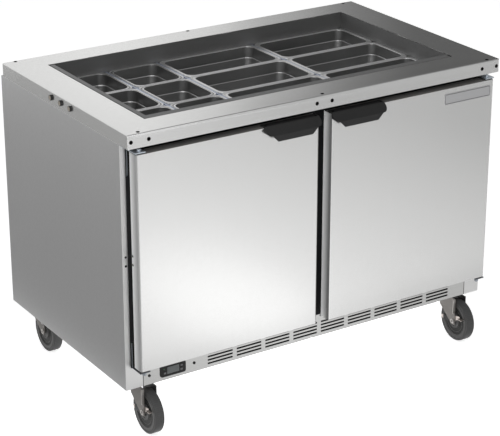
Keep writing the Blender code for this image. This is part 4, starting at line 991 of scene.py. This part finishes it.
# evaporator: finned block and fan guard of wire rings; both fans with soft blades
guardSizes = {"blockEdge": 0.001, "wire": 0.0012, "rings": (0.022, 0.045, 0.0675), "reach": 0.069,
              "ringSteps": 48, "wireSteps": 8, "bladeEdge": 0.0005}
softPiece("evaporator_coil", "evaporator_block", guardSizes["blockEdge"], finLook,
          "cabinet", "liner_aluminium")
coilLow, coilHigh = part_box("evaporator_coil")
hubAt = Vector(((coilLow.x + coilHigh.x) / 2, coilLow.y - guardSizes["wire"], (coilLow.z + coilHigh.z) / 2))
wire, reach = guardSizes["wire"], guardSizes["reach"]
parts = [addWire("guardSpoke", wire, 2 * reach, axis, hubAt) for axis in ("X", "Z")]
for radius in guardSizes["rings"]:
    deselectAll()
    bpy.ops.mesh.primitive_torus_add(major_radius=radius, minor_radius=wire, location=hubAt,
                                     rotation=(math.pi / 2, 0, 0), major_segments=guardSizes["ringSteps"],
                                     minor_segments=guardSizes["wireSteps"])
    ring = bpy.context.object
    bakePlace()
    smooth(ring, 60)
    parts.append(ring)
piece = joinPieces(*parts)
piece.name = "evaporator_guard"
finishPiece(piece, zincLook, "cabinet", "zinc")
for fan in ("evaporator_fan", "condenser_fan"):
    softPiece(fan, f"{fan}_blades", guardSizes["bladeEdge"], darkPlastic, fan, "dark_plastic")

# condensing unit: finned coil, painted pot, plated tray
unitSizes = {"edge": 0.0008, "coilSide": -0.05, "tray": 0.004}
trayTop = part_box("condensing_unit")[0].z + unitSizes["tray"]
piece = softCopy("condensing_unit", "condensing_set", unitSizes["edge"])
paint(piece, paintLook, finLook, lambda face: face.center.x < unitSizes["coilSide"])
paintAlso(piece, zincLook, lambda face: face.center.z < trayTop)
finishPiece(piece, None, "cabinet", "compressor_paint", "condensing_unit")
print("shelves and machinery done")

# floor: a pale diffuse sheet that the camera and the steel see brightened to white, shadow kept
studio = {"floorSize": 40, "floorGrey": 0.9, "floorRough": 0.9, "floorLift": 0.72, "ambient": 0.26,
          "keyPower": 60, "fillPower": 20, "edgePower": 52}
deselectAll()
bpy.ops.mesh.primitive_plane_add(size=studio["floorSize"], location=(0, 0, 0))
floor = bpy.context.object
floor.name = "studioFloor"
floorLook = bpy.data.materials.new("floorLook")
floorLook.use_nodes = True
floorTree = floorLook.node_tree
floorShader = floorTree.nodes["Principled BSDF"]
setInputs(floorShader, {"Base Color": (studio["floorGrey"],) * 3 + (1,), "Roughness": studio["floorRough"],
                        "Specular IOR Level": 0.0, "Emission Color": (1, 1, 1, 1)})
rayKind = floorTree.nodes.new("ShaderNodeLightPath")
lift = floorTree.nodes.new("ShaderNodeMath")
lift.operation = "MULTIPLY"
lift.inputs[1].default_value = studio["floorLift"]
seen = rayKind.outputs["Is Camera Ray"]
for ray in ("Is Glossy Ray", "Is Transmission Ray"):
    either = floorTree.nodes.new("ShaderNodeMath")
    either.operation = "MAXIMUM"
    floorTree.links.new(seen, either.inputs[0])
    floorTree.links.new(rayKind.outputs[ray], either.inputs[1])
    seen = either.outputs["Value"]
floorTree.links.new(seen, lift.inputs[0])
floorTree.links.new(lift.outputs["Value"], floorShader.inputs["Emission Strength"])
floor.data.materials.append(floorLook)

world = bpy.data.worlds.new("studioWorld")
bpy.context.scene.world = world
world.use_nodes = True
setInputs(world.node_tree.nodes["Background"], {"Color": (1, 1, 1, 1), "Strength": studio["ambient"]})


def addLamp(name, place, target, size, power, mirrored):
    deselectAll()
    bpy.ops.object.light_add(type="AREA", location=place)
    lamp = bpy.context.object
    lamp.name = name
    lamp.data.shape = "SQUARE"
    lamp.data.size = size
    lamp.data.energy = power
    lamp.rotation_euler = (Vector(target) - Vector(place)).to_track_quat("-Z", "Y").to_euler()
    lamp.visible_glossy = mirrored  # whether the steel mirrors it


addLamp("keyLamp", (-2.0, -2.4, 4.2), (0, 0, 0.4), 3.0, studio["keyPower"], True)
addLamp("fillLamp", (3.2, -3.0, 2.6), (0, 0, 0.4), 2.0, studio["fillPower"], False)
# low, to reach into the door gaps
addLamp("edgeLamp", (-2.4, -3.4, 0.9), (0, 0, 0.5), 1.2, studio["edgePower"], False)


# a studio card that only reflections see; its light runs over the given stops
def addCard(name, size, place, turn, shape, centre, reach, stops):
    deselectAll()
    bpy.ops.mesh.primitive_plane_add(size=1, location=place, rotation=turn)
    card = bpy.context.object
    card.name = name
    bpy.ops.transform.resize(value=(size[0], size[1], 1), orient_type="LOCAL")
    bakePlace()
    card.visible_camera = False
    card.visible_diffuse = False
    card.visible_shadow = False
    card.visible_transmission = False
    look = bpy.data.materials.new(name + "Look")
    look.use_nodes = True
    tree = look.node_tree
    tree.nodes.remove(tree.nodes["Principled BSDF"])
    place = tree.nodes.new("ShaderNodeTexCoord")
    mapping = tree.nodes.new("ShaderNodeMapping")
    mapping.vector_type = "TEXTURE"
    setInputs(mapping, {"Location": centre, "Scale": reach})
    gradient = tree.nodes.new("ShaderNodeTexGradient")
    gradient.gradient_type = shape
    ramp = tree.nodes.new("ShaderNodeValToRGB")
    ramp.color_ramp.interpolation = "EASE"
    marks = ramp.color_ramp.elements
    marks.remove(marks[1])
    for number, (at, level) in enumerate(stops):
        mark = marks[0] if number == 0 else marks.new(at)
        mark.position = at
        mark.color = (level, level, level, 1)
    glow = tree.nodes.new("ShaderNodeEmission")
    link = tree.links.new
    link(place.outputs["Object"], mapping.inputs["Vector"])
    link(mapping.outputs["Vector"], gradient.inputs["Vector"])
    link(gradient.outputs["Fac"], ramp.inputs["Fac"])
    link(ramp.outputs["Color"], glow.inputs["Color"])
    link(glow.outputs["Emission"], tree.nodes["Material Output"].inputs["Surface"])
    card.data.materials.append(look)


# behind: bright on the left, dark on the right, which the worktop mirrors
addCard("backCard", (9, 3.4), (1.0, 2.6, 1.9), (math.pi / 2, 0, 0), "LINEAR", (0.5, 0, 0), (2.1, 1, 1),
        ((0.0, 0.79), (0.2, 0.84), (0.42, 0.72), (0.62, 0.42), (0.85, 0.19), (1.0, 0.11)))
# in front: a bright pool on the floor, which the doors mirror
addCard("frontCard", (7, 3.2), (1.2, -2.05, 0.003), (0, 0, 0), "SPHERICAL", (0.09, -1.06, 0), (1.78, 2.95, 1),
        ((0.0, 0.43), (0.15, 0.53), (0.3, 0.60), (0.5, 0.68), (0.65, 0.76), (0.8, 0.85), (0.92, 1.09),
         (1.0, 1.14)))
# close in front: the same pool, shaded by the cabinet
addCard("nearCard", (7, 0.4), (1.2, -0.58, 0.005), (0, 0, 0), "SPHERICAL", (0.09, -1.06, 0), (1.78, 2.95, 1),
        ((0.0, 0.36), (0.3, 0.48), (0.5, 0.54), (0.65, 0.60), (0.8, 0.71), (0.92, 0.95), (1.0, 1.0)))
# left: a grey floor strip, which the left side mirrors
addCard("sideCard", (3.0, 4.0), (-2.2, 1.2, 0.003), (0, 0, 0), "LINEAR", (-2.2, 0, 0), (1.6, 1, 1),
        ((0.0, 0.41), (0.4, 0.315), (1.0, 0.275)))

# the camera fitted to the photo
cameraSizes = {"sensor": 36, "lens": 131.364, "place": (-2.6961, -4.1948, 2.44835), "tilt": 67.743,
               "turn": -32.631}
cameraData = bpy.data.cameras.new("photoCamera")
cameraData.sensor_fit = "HORIZONTAL"
cameraData.sensor_width = cameraSizes["sensor"]
cameraData.lens = cameraSizes["lens"]
camera = bpy.data.objects.new("photoCamera", cameraData)
camera.location = cameraSizes["place"]
camera.rotation_euler = (math.radians(cameraSizes["tilt"]), 0, math.radians(cameraSizes["turn"]))
bpy.context.scene.collection.objects.link(camera)
bpy.context.scene.camera = camera
bpy.context.scene.view_settings.view_transform = "Standard"

deselectAll()
